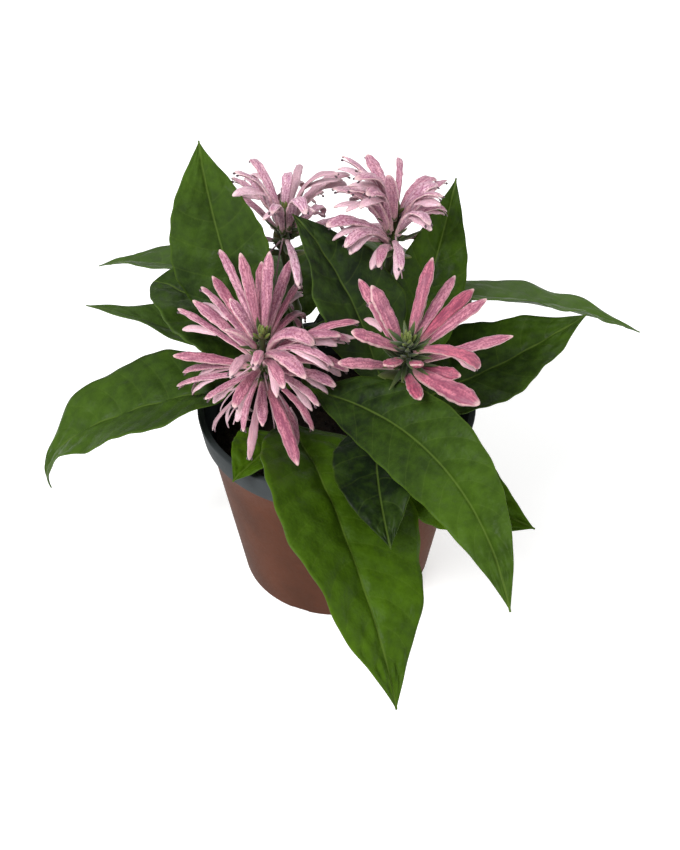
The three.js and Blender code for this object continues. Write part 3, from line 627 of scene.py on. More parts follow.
# Each leaf's stem, the height of its node, its heading, its pitch at the root and at the tip, and
# the length and width of its blade.
LEAVES = {
    "upright_left": ("front_left", dict(
        z=126, heading=116, rise=46, fall=86, length=89, width=46, sweep=15, roll=-42, petiole=22)),
    "front_right_long": ("front_left", dict(
        z=128, heading=334, rise=15, fall=-23, length=146, width=38, sweep=-56, roll=24,
        bend=1.24, taper=1.12, petiole=24)),
    "left_long": ("front_left", dict(
        z=128, heading=168, rise=-18, fall=-106, length=117, width=61, sweep=26, bend=5, taper=1.5)),
    "front_long": ("front_left", dict(
        z=107, heading=290, rise=5, fall=-55, length=146, width=68, roll=-19, petiole=9)),
    "left_shoulder": ("front_left", dict(
        z=100, heading=149, rise=67, fall=-12, length=72, width=54, roll=-5,
        taper=0.8, petiole=22)),
    "rim_small": ("front_left", dict(
        z=91, heading=247, rise=24, fall=-12, length=44, width=30, sweep=-12, petiole=8)),
    "upright_middle": ("front_right", dict(
        z=119, heading=130, rise=67, fall=31, length=84, width=47, sweep=14, petiole=8)),
    "front_shaded": ("front_right", dict(
        z=112, heading=259, rise=10, fall=-25, length=71, width=38, sweep=24, roll=10, petiole=15)),
    "upright_right": ("front_right", dict(
        z=113, heading=61, rise=38, fall=52, length=99, width=35, sweep=9, roll=28, petiole=9)),
    "right_wavy": ("front_right", dict(
        z=103, heading=20, rise=11, fall=27, length=96, width=53, roll=5, petiole=10)),
    "front_right_low": ("front_right", dict(
        z=105, heading=290, rise=4, fall=2, length=79, width=41, sweep=34, roll=46, petiole=23)),
    "middle_back": ("back_left", dict(
        z=122, heading=330, rise=50, fall=10, length=34, width=26, petiole=5)),
    "left_thin": ("back_left", dict(
        z=136, heading=156, rise=13, fall=-26, length=95, width=38, roll=14)),
    "back_left_high": ("back_left", dict(
        z=116, heading=99, rise=25, fall=-55, length=88, width=46)),
    "back_left_low": ("back_left", dict(
        z=104, heading=124, rise=20, fall=-58, length=92, width=46)),
    "left_low": ("back_left", dict(
        z=92, heading=178, rise=33, fall=20, length=99, width=34, sweep=10, roll=9)),
    "right_arching": ("back_right", dict(
        z=142, heading=16, rise=-8, fall=-28, length=110, width=38, sweep=-11, roll=-15, petiole=24)),
    "back_right_high": ("back_right", dict(
        z=118, heading=76, rise=24, fall=-55, length=90, width=46)),
    "back_right_low": ("back_right", dict(
        z=104, heading=58, rise=20, fall=-60, length=90, width=46)),
}
# How bright and yellow each leaf is at its root and at its tip, from 0 for the darkest to 1 for
# the freshest, and how much of the sky's grey its wax shows. The brightness is partly the leaf's
# own age and partly painted shade, low for leaves that lie in shade under the heads and under
# other leaves; the grey is a painted reflection of the sky.
LEAF_TONE_AND_SHADE = {
    "front_long": (0.5, 0.72, 0), "rim_small": (0.7, 0.7, 0), "front_right_long": (0.15, 0.6, 0.08),
    "left_long": (0.4, 0.6, 0.12), "left_low": (0.5, 0.6, 0.3), "left_thin": (0.5, 0.5, 0.35),
    "left_shoulder": (0.2, 0.3, 0.1), "upright_left": (0.2, 0.5, 0.1), "front_shaded": (0, 0.06, 0.05),
    "upright_middle": (0.22, 0.08, 0.12), "upright_right": (0.4, 0.4, 0), "right_wavy": (0.2, 0.34, 0.05),
    "right_arching": (0.6, 0.8, 0.35), "front_right_low": (0.8, 0.9, 0), "middle_back": (0, 0, 0),
}
OTHER_LEAF_TONE_AND_SHADE = (0.35, 0.45, 0.1)


def leaf_outline(t, taper):
    """Share of the full half width at the share t of the blade: widest well below the middle."""
    peak = LEAF_FRONT / (LEAF_FRONT + taper)
    return (t / peak) ** LEAF_FRONT * ((1 - t) / (1 - peak)) ** taper


def leaf_stations(owner, leaf, shares):
    """Midline of a leaf from its root, rolled about itself. Returns t, points, sides, normals."""
    whole = leaf["petiole"] + leaf["length"]
    h = np.radians(leaf["heading"])
    start = stem_centre(STEMS[owner], leaf["z"]) + [np.cos(h), np.sin(h), 0]
    points, side, normal = walk(
        start, np.eye(3),
        lambda s: leaf["heading"] + leaf["sweep"] * s,
        lambda s: leaf["rise"] + (leaf["fall"] - leaf["rise"]) * s ** leaf["bend"],
        whole, shares)
    cos, sin = np.cos(np.radians(leaf["roll"])), np.sin(np.radians(leaf["roll"]))
    stalk = leaf["petiole"] / whole
    t = np.maximum(0, (shares - stalk) / (1 - stalk))
    return t, points, side * cos - normal * sin, normal * cos + side * sin


def blade_half_width(leaf, t):
    """Half width of the leaf at t, never less than its stalk."""
    rounded = np.maximum(leaf["width"] / 2 * leaf_outline(t, leaf["taper"]), PETIOLE_RADIUS * (1 - t) ** 2)
    return np.maximum(rounded, 0.4)


def blade_offsets(leaf, t, u):
    """Offsets along the side and the normal of the blade's middle surface at t along and u across:
    folded up from the midrib, with a wavy margin."""
    half = blade_half_width(leaf, t)
    crease = np.radians(leaf["fold"]) * smoothstep(t, 0, 0.15)
    wave = WAVE * leaf["width"] * u ** 2 * np.sin(np.pi * t) * np.sin(6.5 * np.pi * t + np.sign(u))
    return half * u * np.cos(crease), half * np.abs(u) * np.sin(crease) + wave


def vein_phase(leaf, t, u):
    """Counts the side veins at a point of the blade: whole numbers lie on a vein."""
    pairs = max(5, round(leaf["length"] / 12))
    return pairs * (t - 0.13 * np.abs(u) ** 1.4) + 0.15 * np.sign(u)


def leaf_relief(leaf, t, u, across, phase, start):
    """Height of a blade above its smooth middle surface: pillows between the veins, with dimples
    on them, a slow rocking from side to side and a crinkled margin."""
    inside = smoothstep(t, 0.02, 0.12) * smoothstep(1 - t, 0, 0.1) * (1 - np.abs(u) ** 5)
    pillow = np.abs(np.sin(np.pi * phase)) ** 0.7 * (1 - np.exp(-(across / 3) ** 2))
    dimples = np.sin(23 * t + 3 * u + start[3]) * np.sin(8 * u + 11 * t + start[4])
    dimples = dimples + 0.6 * np.sin(37 * t - 6 * u + start[5]) * np.cos(13 * u + start[4])
    rocking = np.sin(2.3 * np.pi * t + start[0]) * u * np.sin(np.pi * t)
    margin = np.sin(9 * np.pi * t + start[1] + u) * np.abs(u) ** 3 * np.sin(np.pi * t)
    relief_share = (PILLOW * pillow + DIMPLE * dimples) * inside + ROCKING * rocking + CRINKLE * margin
    return leaf["width"] * relief_share


def leaf_body(owner, leaf, tones_and_shade, rng):
    """A leaf as a closed shell: rings that run over its upper face and back under its lower one,
    round along the stalk and thin, with a grooved and ribbed midrib, along the blade."""
    # The last of the three values is a painted reflection of the sky on the leaf's wax.
    root_tone_and_shade, tip_tone_and_shade, sky_sheen = tones_and_shade
    stalk = leaf["petiole"] / (leaf["petiole"] + leaf["length"])
    shares = np.concatenate([
        np.linspace(0, stalk, STALK_STATIONS, endpoint=False),
        stalk + (1 - stalk) * np.linspace(0, 1, BLADE_STATIONS) ** 1.05,
    ])
    t, points, side, normal = leaf_stations(owner, leaf, shares)
    t = t[:, None]
    spread = np.linspace(-1, 1, BLADE_ACROSS)
    spread = np.sign(spread) * np.abs(spread) ** 1.25
    u = np.concatenate([spread, spread[::-1]])
    over = np.repeat([1, -1], BLADE_ACROSS)
    start = rng.uniform(0, 2 * np.pi, 6)
    across, up = blade_offsets(leaf, t, u)
    phase = vein_phase(leaf, t, u)
    up = up + leaf_relief(leaf, t, u, across, phase, start)
    across = across * (1 + CRINKLE * np.sin(21 * np.pi * t + start[2] + np.sign(u)) * np.abs(u) ** 6)
    groove = GROOVE_DEPTH * np.exp(-(across / GROOVE_REACH) ** 2)
    groove = groove * smoothstep(t, 0.01, 0.1) * smoothstep(1 - t, 0, 0.25)
    rib = PETIOLE_RADIUS * (1 - t) ** 1.5 * np.exp(-(across / MIDRIB_REACH) ** 2)
    thin = 0.2 + 0.12 * (1 - u ** 2)
    blade_up = up + np.where(over > 0, thin - groove, -thin - rib)
    round_across = PETIOLE_RADIUS * np.sin(u * np.pi / 2)
    round_up = over * PETIOLE_RADIUS * np.cos(u * np.pi / 2) * np.where(over > 0, 0.75, 1)
    flat = smoothstep(t, 0, 0.05)
    across = round_across * (1 - flat) + across * flat
    up = round_up * (1 - flat) + blade_up * flat
    rings = offset_rings(points, side, normal, across, up)
    marks = {
        "across": u, "along": t, "under": (1 - over) / 2, "sky_sheen": sky_sheen,
        # Leaf brightness along the blade: the leaf's own age mixed with painted shade, low where a leaf
        # lies in shade.
        "tone": root_tone_and_shade + (tip_tone_and_shade - root_tone_and_shade) * smoothstep(t, 0.15, 0.75),
        "stalk": 1 - smoothstep(t, 0, 0.06), "phase": phase,
        "from_rib": np.abs(u) * blade_half_width(leaf, t) / 10,
    }
    return rings, marks


def leaf_green():
    """Satin deep green in soft blotches, darkened by painted shade on the leaves that lie in shade
    and greyed by a painted sky reflection on some, with a pale hairline midrib, side veins that
    barely show, a yellower rim and a dull, paler underside."""
    material, tree, shader = new_material("leaf_green")
    broad = use_group(tree, MOTTLING, {"Scale": 40, "Grain Scale": 1100})
    fine = use_group(tree, MOTTLING, {"Scale": 210, "Grain Scale": 480})
    cloud = calc(tree, "ADD", calc(tree, "MULTIPLY", broad["Cloud"], 0.28), calc(
        tree, "MULTIPLY", fine["Cloud"], 0.24))
    # Brightness of the green: partly the leaf's own age, partly painted shade on leaves that lie in shade.
    fresh_and_lit = calc(tree, "ADD", mark(tree, "tone"), calc(tree, "SUBTRACT", cloud, 0.22), clamp=True)
    green = blend(tree, fresh_and_lit, paint(9, 22, 5), paint(62, 90, 9))
    phase = calc(tree, "MULTIPLY", mark(tree, "phase"), np.pi)
    off_vein = calc(tree, "ABSOLUTE", calc(tree, "SINE", phase))
    side_vein = calc(tree, "MULTIPLY", ramp(tree, off_vein, 0.14, 0.0), 0.12)
    midrib = calc(tree, "MULTIPLY", ramp(tree, mark(tree, "from_rib"), 0.06, 0.02), 0.45)
    green = blend(tree, calc(tree, "MAXIMUM", side_vein, midrib), green, paint(86, 106, 40))
    rim = ramp(tree, calc(tree, "ABSOLUTE", mark(tree, "across")), 0.95, 1.0)
    green = blend(tree, rim, green, paint(94, 122, 26), 0.22)
    # Painted sky reflection: greys the leaves whose wax shows the sky.
    green = blend(tree, mark(tree, "sky_sheen"), green, paint(96, 112, 84), 0.5)
    green = blend(tree, ramp(tree, mark(tree, "under"), 0.3, 0.7), green, paint(62, 84, 42), 0.7)
    green = blend(tree, mark(tree, "stalk"), green, paint(62, 88, 26))
    pillow = calc(tree, "MULTIPLY", off_vein, ramp(tree, mark(tree, "from_rib"), 0.0, 0.12))
    height = calc(tree, "ADD", calc(tree, "MULTIPLY", fine["Grain"], 0.8), calc(
        tree, "MULTIPLY", pillow, 0.5))
    fill(tree, shader, {
        "Base Color": green,
        "Roughness": span(tree, fine["Cloud"], 0.38, 0.55),
        "Normal": relief(tree, height, 0.45, 0.0009),
        "Specular IOR Level": 0.08})
    return material


LEAF_GREEN = leaf_green()
rng = np.random.default_rng(5)
for name, (owner, given) in LEAVES.items():
    leaf = {**LEAF, **given}
    tones_and_shade = LEAF_TONE_AND_SHADE.get(name, OTHER_LEAF_TONE_AND_SHADE)
    mesh = loft_mesh(f"blade_{name}", [leaf_body(owner, leaf, tones_and_shade, rng)])
    finish_piece(link_object(f"blade_{name}", mesh), LEAF_GREEN, "leaf_green", f"leaf_{name}")

# Flower heads: corollas crowded round each flowering axis. An open corolla is a slim tube that
# parts into an arched upper lip, with two stamens under it, and a lower lip that curls down. An
# unopened one is a club-shaped bud. Each stands in a small green cup with pointed teeth.
BUD = False
OPEN = True
# From the lowest up: the share of the flowering axis where a corolla sits, its azimuth (0 to the
# right, 90 to the back), its lean above the plane square to the axis, its length, how far it
# curls over, its greatest half width, and whether its lips have parted.
HEADS = {
    "front_left": [
        (0.05, 205, -45, 36, 10, 2.0, OPEN), (0.05, 280, -5, 38, 10, 1.7, OPEN),
        (0.05, 305, -20, 32, 20, 1.9, OPEN), (0.08, 290, 0, 46, 10, 2.4, BUD),
        (0.10, 215, -70, 30, 30, 2.0, OPEN), (0.10, 270, 10, 28, 20, 1.9, BUD),
        (0.12, 190, -10, 36, 20, 2.1, OPEN), (0.12, 320, 0, 32, 15, 2.0, OPEN),
        (0.15, 60, -50, 34, 20, 2.0, BUD), (0.15, 245, -10, 26, 20, 2.0, OPEN),
        (0.20, 175, 10, 36, 20, 2.0, BUD), (0.20, 175, -45, 36, 50, 1.9, OPEN),
        (0.20, 330, 30, 36, 30, 2.4, OPEN), (0.20, 90, -45, 30, 20, 2.0, OPEN),
        (0.25, 165, -25, 36, 30, 2.0, OPEN), (0.25, 222, 10, 28, 20, 2.1, OPEN),
        (0.30, 20, -50, 43, 40, 2.0, BUD), (0.30, 310, 25, 36, 30, 2.2, OPEN),
        (0.35, 40, -5, 40, 20, 2.1, BUD), (0.35, 250, 25, 32, 30, 2.2, OPEN),
        (0.40, 30, -15, 36, 60, 2.0, OPEN), (0.40, 160, 25, 40, 20, 2.0, OPEN),
        (0.40, 345, 20, 38, 40, 2.2, OPEN), (0.45, 285, 45, 40, 60, 2.1, OPEN),
        (0.45, 75, -30, 38, 20, 2.0, OPEN), (0.50, 15, 35, 44, 35, 1.9, OPEN),
        (0.50, 155, 35, 36, 15, 2.1, BUD), (0.50, 235, 50, 30, 40, 2.3, OPEN),
        (0.50, 10, 25, 40, 50, 2.2, OPEN), (0.55, 325, 40, 43, 90, 2.2, OPEN),
        (0.60, 145, 35, 36, 15, 2.0, OPEN), (0.60, 350, 40, 38, 60, 2.3, OPEN),
        (0.60, 265, 60, 28, 30, 2.4, OPEN), (0.65, 300, 40, 40, 65, 2.7, BUD),
        (0.65, 130, 30, 36, 15, 2.1, BUD), (0.70, 110, 25, 46, 25, 1.8, OPEN),
        (0.70, 60, -20, 40, 80, 2.2, OPEN), (0.70, 65, 5, 43, 60, 2.0, OPEN),
        (0.75, 70, -10, 43, 50, 2.1, OPEN), (0.75, 335, 55, 34, 70, 2.8, OPEN),
        (0.80, 110, 60, 40, 10, 2.1, BUD), (0.80, 75, 15, 40, 20, 2.0, BUD),
        (0.80, 215, 60, 26, 30, 2.2, BUD), (0.85, 150, 60, 24, 20, 2.0, BUD),
        (0.85, 85, 50, 37, 10, 2.1, BUD), (0.90, 95, 30, 32, 10, 2.0, BUD),
    ],
    "front_right": [
        (0.10, 60, -55, 32, 15, 2.0, BUD), (0.15, 280, 30, 26, 10, 2.3, BUD),
        (0.15, 340, 20, 22, 10, 2.2, BUD), (0.20, 200, 35, 33, 10, 2.1, BUD),
        (0.20, 15, 5, 44, 10, 2.0, BUD), (0.20, 315, 20, 38, 5, 3.7, BUD),
        (0.30, 95, -40, 32, 15, 2.0, BUD), (0.40, 135, 35, 26, 20, 1.9, OPEN),
        (0.50, 120, 10, 38, 5, 2.1, BUD), (0.50, 40, 5, 41, 5, 2.2, BUD),
        (0.50, 295, 50, 12, 10, 2.0, BUD), (0.60, 230, 35, 13, 10, 2.1, BUD),
        (0.60, 75, -10, 38, 10, 1.8, BUD), (0.65, 50, 0, 41, 5, 2.3, BUD),
        (0.70, 130, 50, 30, 10, 3.0, BUD), (0.70, 125, -25, 10, 5, 2.0, BUD),
        (0.75, 60, 0, 41, 5, 2.0, BUD), (0.80, 345, 5, 32, 90, 2.6, OPEN),
        (0.80, 75, 20, 38, 5, 2.2, BUD), (0.85, 190, 40, 26, 10, 2.6, BUD),
    ],
    "back_left": [
        (0.10, 140, -20, 36, 25, 2.1, OPEN), (0.20, 60, -20, 36, 30, 2.1, OPEN),
        (0.20, 100, -25, 36, 25, 2.1, BUD), (0.30, 30, 0, 36, 40, 2.2, OPEN),
        (0.30, 125, 5, 41, 20, 1.7, OPEN), (0.35, 280, 15, 40, 20, 2.0, OPEN),
        (0.35, 50, 5, 30, 50, 2.3, OPEN), (0.40, 105, 5, 44, 20, 2.3, OPEN),
        (0.50, 120, 10, 44, 35, 2.4, OPEN), (0.50, 65, 5, 35, 60, 2.6, OPEN),
        (0.50, 250, 60, 34, 60, 2.6, OPEN), (0.60, 220, 65, 44, 30, 2.3, OPEN),
        (0.60, 300, 60, 36, 70, 2.6, OPEN), (0.70, 115, 20, 41, 40, 2.1, OPEN),
        (0.70, 345, 65, 41, 60, 2.2, OPEN), (0.70, 180, 50, 30, 50, 2.4, OPEN),
        (0.70, 20, 45, 36, 60, 2.4, OPEN), (0.80, 95, -10, 38, 50, 1.9, OPEN),
        (0.80, 80, 10, 38, 15, 2.1, OPEN), (0.85, 90, 55, 22, 60, 2.4, OPEN),
    ],
    "back_right": [
        (0.10, 250, 30, 32, 30, 2.2, OPEN), (0.15, 140, -25, 36, 25, 2.1, OPEN),
        (0.20, 230, 35, 38, 50, 2.4, OPEN), (0.20, 35, -20, 28, 30, 2.2, OPEN),
        (0.20, 100, -25, 36, 25, 2.1, BUD), (0.30, 215, 35, 38, 40, 2.4, OPEN),
        (0.30, 270, 25, 40, 20, 1.6, OPEN), (0.30, 60, -5, 38, 60, 2.0, OPEN),
        (0.45, 50, 20, 38, 50, 2.0, OPEN), (0.50, 195, 50, 38, 40, 2.2, OPEN),
        (0.50, 120, 5, 41, 20, 2.6, OPEN), (0.50, 70, 0, 35, 30, 2.2, OPEN),
        (0.50, 300, 50, 34, 60, 2.6, OPEN), (0.50, 220, 55, 42, 50, 2.4, OPEN),
        (0.60, 230, 60, 41, 50, 2.8, OPEN), (0.60, 10, 30, 24, 60, 2.4, OPEN),
        (0.60, 195, 70, 34, 40, 2.8, OPEN), (0.70, 215, 65, 44, 45, 2.8, OPEN),
        (0.70, 65, 15, 35, 60, 2.4, OPEN), (0.70, 330, 60, 30, 60, 2.6, OPEN),
        (0.70, 160, 50, 40, 50, 2.4, OPEN), (0.80, 20, 55, 24, 60, 2.4, OPEN),
        (0.85, 100, 5, 44, 0, 2.1, OPEN), (0.90, 255, 60, 41, 10, 1.9, BUD),
        (0.90, 85, 15, 38, 30, 1.3, OPEN),
    ],
}
# How rosy each head's corollas are, from 0 for the palest to 1, how much fuller they are than
# their rows say, how deep their green cups are, and how many spent styles still hang in the head.
HEAD_ROSE = {"front_left": 0.58, "front_right": 0.85, "back_left": 0.12, "back_right": 0.28}
HEAD_FULLNESS = {"front_left": 1, "front_right": 1, "back_left": 1.06, "back_right": 1.2}
CUP_DEPTH = {"front_left": 4.0, "front_right": 5.5, "back_left": 4.0, "back_right": 4.0}
THREADS = {"front_left": 14, "front_right": 0, "back_left": 2, "back_right": 2}
# Where the lips part and how long the lower one is, as shares of the corolla's length.
FORK = 0.5
LOWER_LIP = 0.45
STAMEN_RADIUS = 0.28
STYLE_RADIUS = 0.42
STYLE_LENGTH = (18, 30)
TUBE_SIDES = 16
LIP_SIDES = 12
STAMEN_SIDES = 6
CUP_SIDES = 20
CUP_TEETH = 5
# How each corolla finds a place clear of the leaves, of the other stems and of the other heads:
# the gap that it keeps, the thickness and the steps of a blade, and its own coarse steps and
# girths, as shares of its length and of its greatest half width.
COROLLA_CLEARANCE = 0.7
BLADE_THICKNESS = 0.7
BLADE_STEPS = np.array([0, 0.07, 0.18, 0.31, 0.45, 0.59, 0.73, 0.87, 1])
COARSE = np.array([0, 0.25, 0.5, 0.8, 1])
COARSE_LIP = np.array([0, 0.5, 1])
GIRTH_OPEN = np.array([0.45, 0.65, 0.9, 1, 0.55])
GIRTH_BUD = np.array([0.4, 0.7, 0.95, 1, 0.5])
GIRTH_LIP = np.array([0.6, 0.95, 0.6])


def corolla_path(name, i, lift, swing, shares, lip_shares):
    """Tube and lower lip of corolla i of a head, bent by lift and swing clear of the foliage."""
    share, azimuth, lean, length, curl, _, _ = HEADS[name][i]
    stem = STEMS[name]
    basis = head_basis(stem)
    radial = directions(basis, azimuth + swing, 0)[0]
    root = head_point(stem, stem["rachis"] * (0.1 + 0.8 * share)) + radial * (STEM_RADIUS + 0.9)
    heading = steady(azimuth + swing)

    def pitch(s):
        return lean + lift + 0.35 * curl - curl * s ** 1.3

    tube = walk(root, basis, heading, pitch, length, shares)
    fork = tube[0][np.searchsorted(shares, FORK - 1e-6)]
    lip = walk(fork, basis, heading, lambda s: pitch(FORK) - 15 - 50 * s, LOWER_LIP * length, lip_shares)
    return tube, lip


def bead_string(points, widths, girth):
    """Centres and radii of spheres strung along a coarse path, three to a step."""
    k = np.array([1 / 3, 2 / 3, 1])[:, None]
    centres = [a + (b - a) * k for a, b in zip(points, points[1:])]
    radii = [girth * (a + (b - a) * k[:, 0]) for a, b in zip(widths, widths[1:])]
    return np.concatenate(centres), np.concatenate(radii)


def blade_tree():
    """Search tree over the middle surfaces of all the blades, in coarse triangles, and the half
    thickness of the leaf at each triangle."""
    vertices, faces, halves = [], [], []
    for owner, given in LEAVES.values():
        leaf = {**LEAF, **given}
        whole = leaf["petiole"] + leaf["length"]
        shares = np.concatenate([[0], (leaf["petiole"] + BLADE_STEPS * leaf["length"]) / whole])
        t, points, side, normal = leaf_stations(owner, leaf, shares)
        across, up = blade_offsets(leaf, t[:, None], np.array([[-1, 0, 1]]))
        grid = offset_rings(points, side, normal, across, up)
        half = np.maximum(BLADE_THICKNESS / 2, PETIOLE_RADIUS * (1 - t) ** 1.5)
        a = len(vertices) + (3 * np.arange(len(t) - 1)[:, None] + [0, 1]).ravel()
        faces += np.stack([a, a + 1, a + 4, a, a + 4, a + 3], axis=-1).reshape(-1, 3).tolist()
        halves += np.repeat(half[:-1], 4).tolist()
        vertices += grid.reshape(-1, 3).tolist()
    return BVHTree.FromPolygons(vertices, faces), halves


def is_clear(centres, radii, own_stem, others, blades, halves):
    """Whether beads keep clear of every blade, of the other stems and of the other heads."""
    reach = radii + COROLLA_CLEARANCE
    for centre, limit in zip(centres, reach):
        near = blades.find_nearest_range(centre, limit + PETIOLE_RADIUS)
        if any(gap <= limit + halves[face] for _, _, face, gap in near):
            return False
    for stem in STEMS.values():
        if stem is own_stem:
            continue
        line = stem_centre(stem, np.linspace(SOIL_HEIGHT, stem["top"][2], 5))
        for a, b in zip(line, line[1:]):
            k = np.clip((centres - a) @ (b - a) / ((b - a) @ (b - a)), 0, 1)[:, None]
            gap = np.linalg.norm(centres - a - (b - a) * k, axis=1)
            if (gap <= reach + STEM_RADIUS + STEM_SWELLING).any():
                return False
    for other_centres, other_radii in others:
        gap = np.linalg.norm(centres[:, None] - other_centres, axis=-1)
        if (gap <= reach[:, None] + other_radii).any():
            return False
    return True


def turns_aside():
    """The ways a corolla may turn aside, as lift and swing in degrees, the least turn first."""
    ways = [(0, 0)]
    for k in range(1, 17):
        ways += [(3 * k, 0), (0, 4 * k), (0, -4 * k), (3 * k, 3 * k), (3 * k, -3 * k), (-3 * k, 0)]
    return ways


def place_corollas():
    """Number, lift and swing of each corolla of each head that finds a clear place."""
    blades, halves = blade_tree()
    placed = {}
    others = []
    for name, rows in HEADS.items():
        placed[name] = []
        own = []
        for i, (*_, girth, parted) in enumerate(rows):
            for lift, swing in turns_aside():
                tube, lip = corolla_path(name, i, lift, swing, COARSE, COARSE_LIP)
                beads = [bead_string(tube[0], GIRTH_OPEN if parted else GIRTH_BUD, girth)]
                if parted:
                    beads.append(bead_string(lip[0], GIRTH_LIP, girth))
                centres = np.concatenate([c for c, _ in beads])
                radii = np.concatenate([r for _, r in beads])
                if is_clear(centres, radii, STEMS[name], others, blades, halves):
                    placed[name].append((i, lift, swing))
                    own.append((centres, radii))
                    break
        others += own
    return placed


def smooth_profile(shares, coarse, widths):
    """Widths at finer shares: straight between the coarse ones and then rounded off."""
    fine_shares = np.linspace(-0.1, 1.1, 121)
    fine = np.interp(fine_shares, coarse, widths)
    fine = np.convolve(fine, np.hanning(15) / np.hanning(15).sum(), mode="same")
    return np.interp(shares, fine_shares, fine)


def crowded(bend, before, after):
    """Shares from 0 to 1, evenly spaced up to the bend and then crowding towards the end."""
    beyond = np.linspace(0, 1, after)[1:] ** 0.7
    return np.concatenate([np.linspace(0, bend, before), bend + (1 - bend) * beyond])


def around(count):
    """Distance round a ring from its left side, from 0 to 1 and back, without a seam."""
    k = (np.arange(count) + 0.5) / count
    return (1 - np.abs(1 - 2 * k))[None, :]


def rounded_end(shares, part):
    """Factor that rounds off the last part of a body, of that share, like the end of an ellipse."""
    return np.sqrt(np.clip(1 - (np.clip(shares - 1 + part, 0, None) / part) ** 2, 0.004, 1))


def strap_rings(path, x, y, twist):
    """Rings of a strap whose section is given by offsets x and y, turned by a growing twist."""
    x, y = x * np.cos(twist) - y * np.sin(twist), x * np.sin(twist) + y * np.cos(twist)
    return offset_rings(*path, x, y)


def swayed(path, shares, aside, hook):
    """A path whose far end is moved aside and, over its last third, hooked down, in millimetres."""
    points, side, normal = path
    drop = hook * np.clip((shares - 0.65) / 0.35, 0, 1) ** 2
    return points + side * (aside * shares ** 2)[:, None] - normal * drop[:, None], side, normal


TUBE_SHARES = crowded(0.85, 28, 13)
LIP_SHARES = crowded(0.75, 10, 9)
THREAD_MARKS = {
    "along": 0.7, "round": 0.5, "rose": 0.1, "fade": 0.8, "seed": 1.0, "dark": 0.0, "inner": 0.0}


def thread_bodies(name, rng):
    """Spent styles, left hanging as pale threads where corollas have dropped."""
    stem = STEMS[name]
    basis = head_basis(stem)
    shares = np.linspace(0, 1, 14)
    girth = STYLE_RADIUS * (1 - shares / 3)
    bodies = []
    for _ in range(THREADS[name]):
        azimuth, lean = rng.uniform(200, 310), rng.uniform(-55, -10)
        start = head_point(stem, stem["rachis"] * rng.uniform(0.1, 0.5))
        start = start + (STEM_RADIUS + 1) * directions(basis, azimuth, 0)[0]
        bend, turn = rng.uniform(10, 60), rng.uniform(-40, 40)
        path = walk(start, basis, lambda s: azimuth + turn * s, lambda s: lean - bend * s * s,
                    rng.uniform(*STYLE_LENGTH), shares)
        bodies.append((rings_along(*path, girth, girth, STAMEN_SIDES), THREAD_MARKS))
    return bodies


def tube_body(tube, girth, parted, withered, rng):
    """Rings of a bud, or of a tube and the upper lip that it runs out into, and their inner face.
    The section is an oval, creased along its top, whose lower half rises under the upper one
    past the fork, so that only the upper lip is left."""
    wide = 1.12 * girth * smooth_profile(TUBE_SHARES, COARSE, GIRTH_OPEN if parted else GIRTH_BUD)
    wide = wide * (1 + 0.05 * np.sin(14 * TUBE_SHARES + rng.uniform(0, 6)))
    crinkle = np.sin(41 * TUBE_SHARES + rng.uniform(0, 6)) * smoothstep(TUBE_SHARES, 0.2, 0.5)
    wide = wide * (1 + 0.05 * crinkle)
    wide = wide * (rng.uniform(0.7, 1.15) if parted else 1.1) * (1 - 0.6 * withered)
    shares = TUBE_SHARES[:, None]
    end = rounded_end(shares, 0.09 if parted else 0.16)
    wide = wide[:, None] * end
    angle = section_turns(TUBE_SIDES)
    over, under = np.sin(angle) > 0, np.sin(angle) < 0
    split = smoothstep(shares, 0.42, 0.62) * float(parted)
    x = wide * np.cos(angle)
    flat = 0.85 - 0.25 * smoothstep(shares, 0.15, 0.5) - 0.15 * split
    height = np.sin(angle) * np.where(over, 1, 1 - 1.5 * split)
    crease = 0.16 * np.exp(-(np.cos(angle) / 0.22) ** 2) * over
    y = wide * (height * flat - crease) - 0.25 * split * under * end
    y = y + 0.12 * np.sin(29 * shares + 1.5 * x + rng.uniform(0, 6)) * end * float(parted)
    return strap_rings(tube, x, y, np.radians(rng.uniform(-30, 30)) * shares ** 2), split * under


def lip_body(lip, girth, withered, rng):
    """Rings of a lower lip, and their inner face: a thin strap, arched across, with three lobes at
    its end."""
    shares = LIP_SHARES[:, None]
    wide = 1.1 * girth * smooth_profile(LIP_SHARES, COARSE_LIP, GIRTH_LIP)[:, None]
    wide = wide * rounded_end(shares, 0.2) * (1 + 0.08 * np.sin(11 * shares + rng.uniform(0, 6)))
    angle = section_turns(LIP_SIDES)
    x = wide * (1 - 0.4 * withered) * np.cos(angle)
    y = 0.3 * np.sin(angle) * np.minimum(1, wide) - 0.3 * wide * np.cos(angle) ** 2
    rings = strap_rings(lip, x, y, np.radians(rng.uniform(-40, 40)) * shares)
    lobes = 0.5 * girth * np.cos(2 * np.pi * np.cos(angle)) * shares ** 3
    rings = rings + lobes[..., None] * np.cross(lip[1], lip[2])[:, None]
    return rings, 0.8 * (np.sin(angle) > 0)


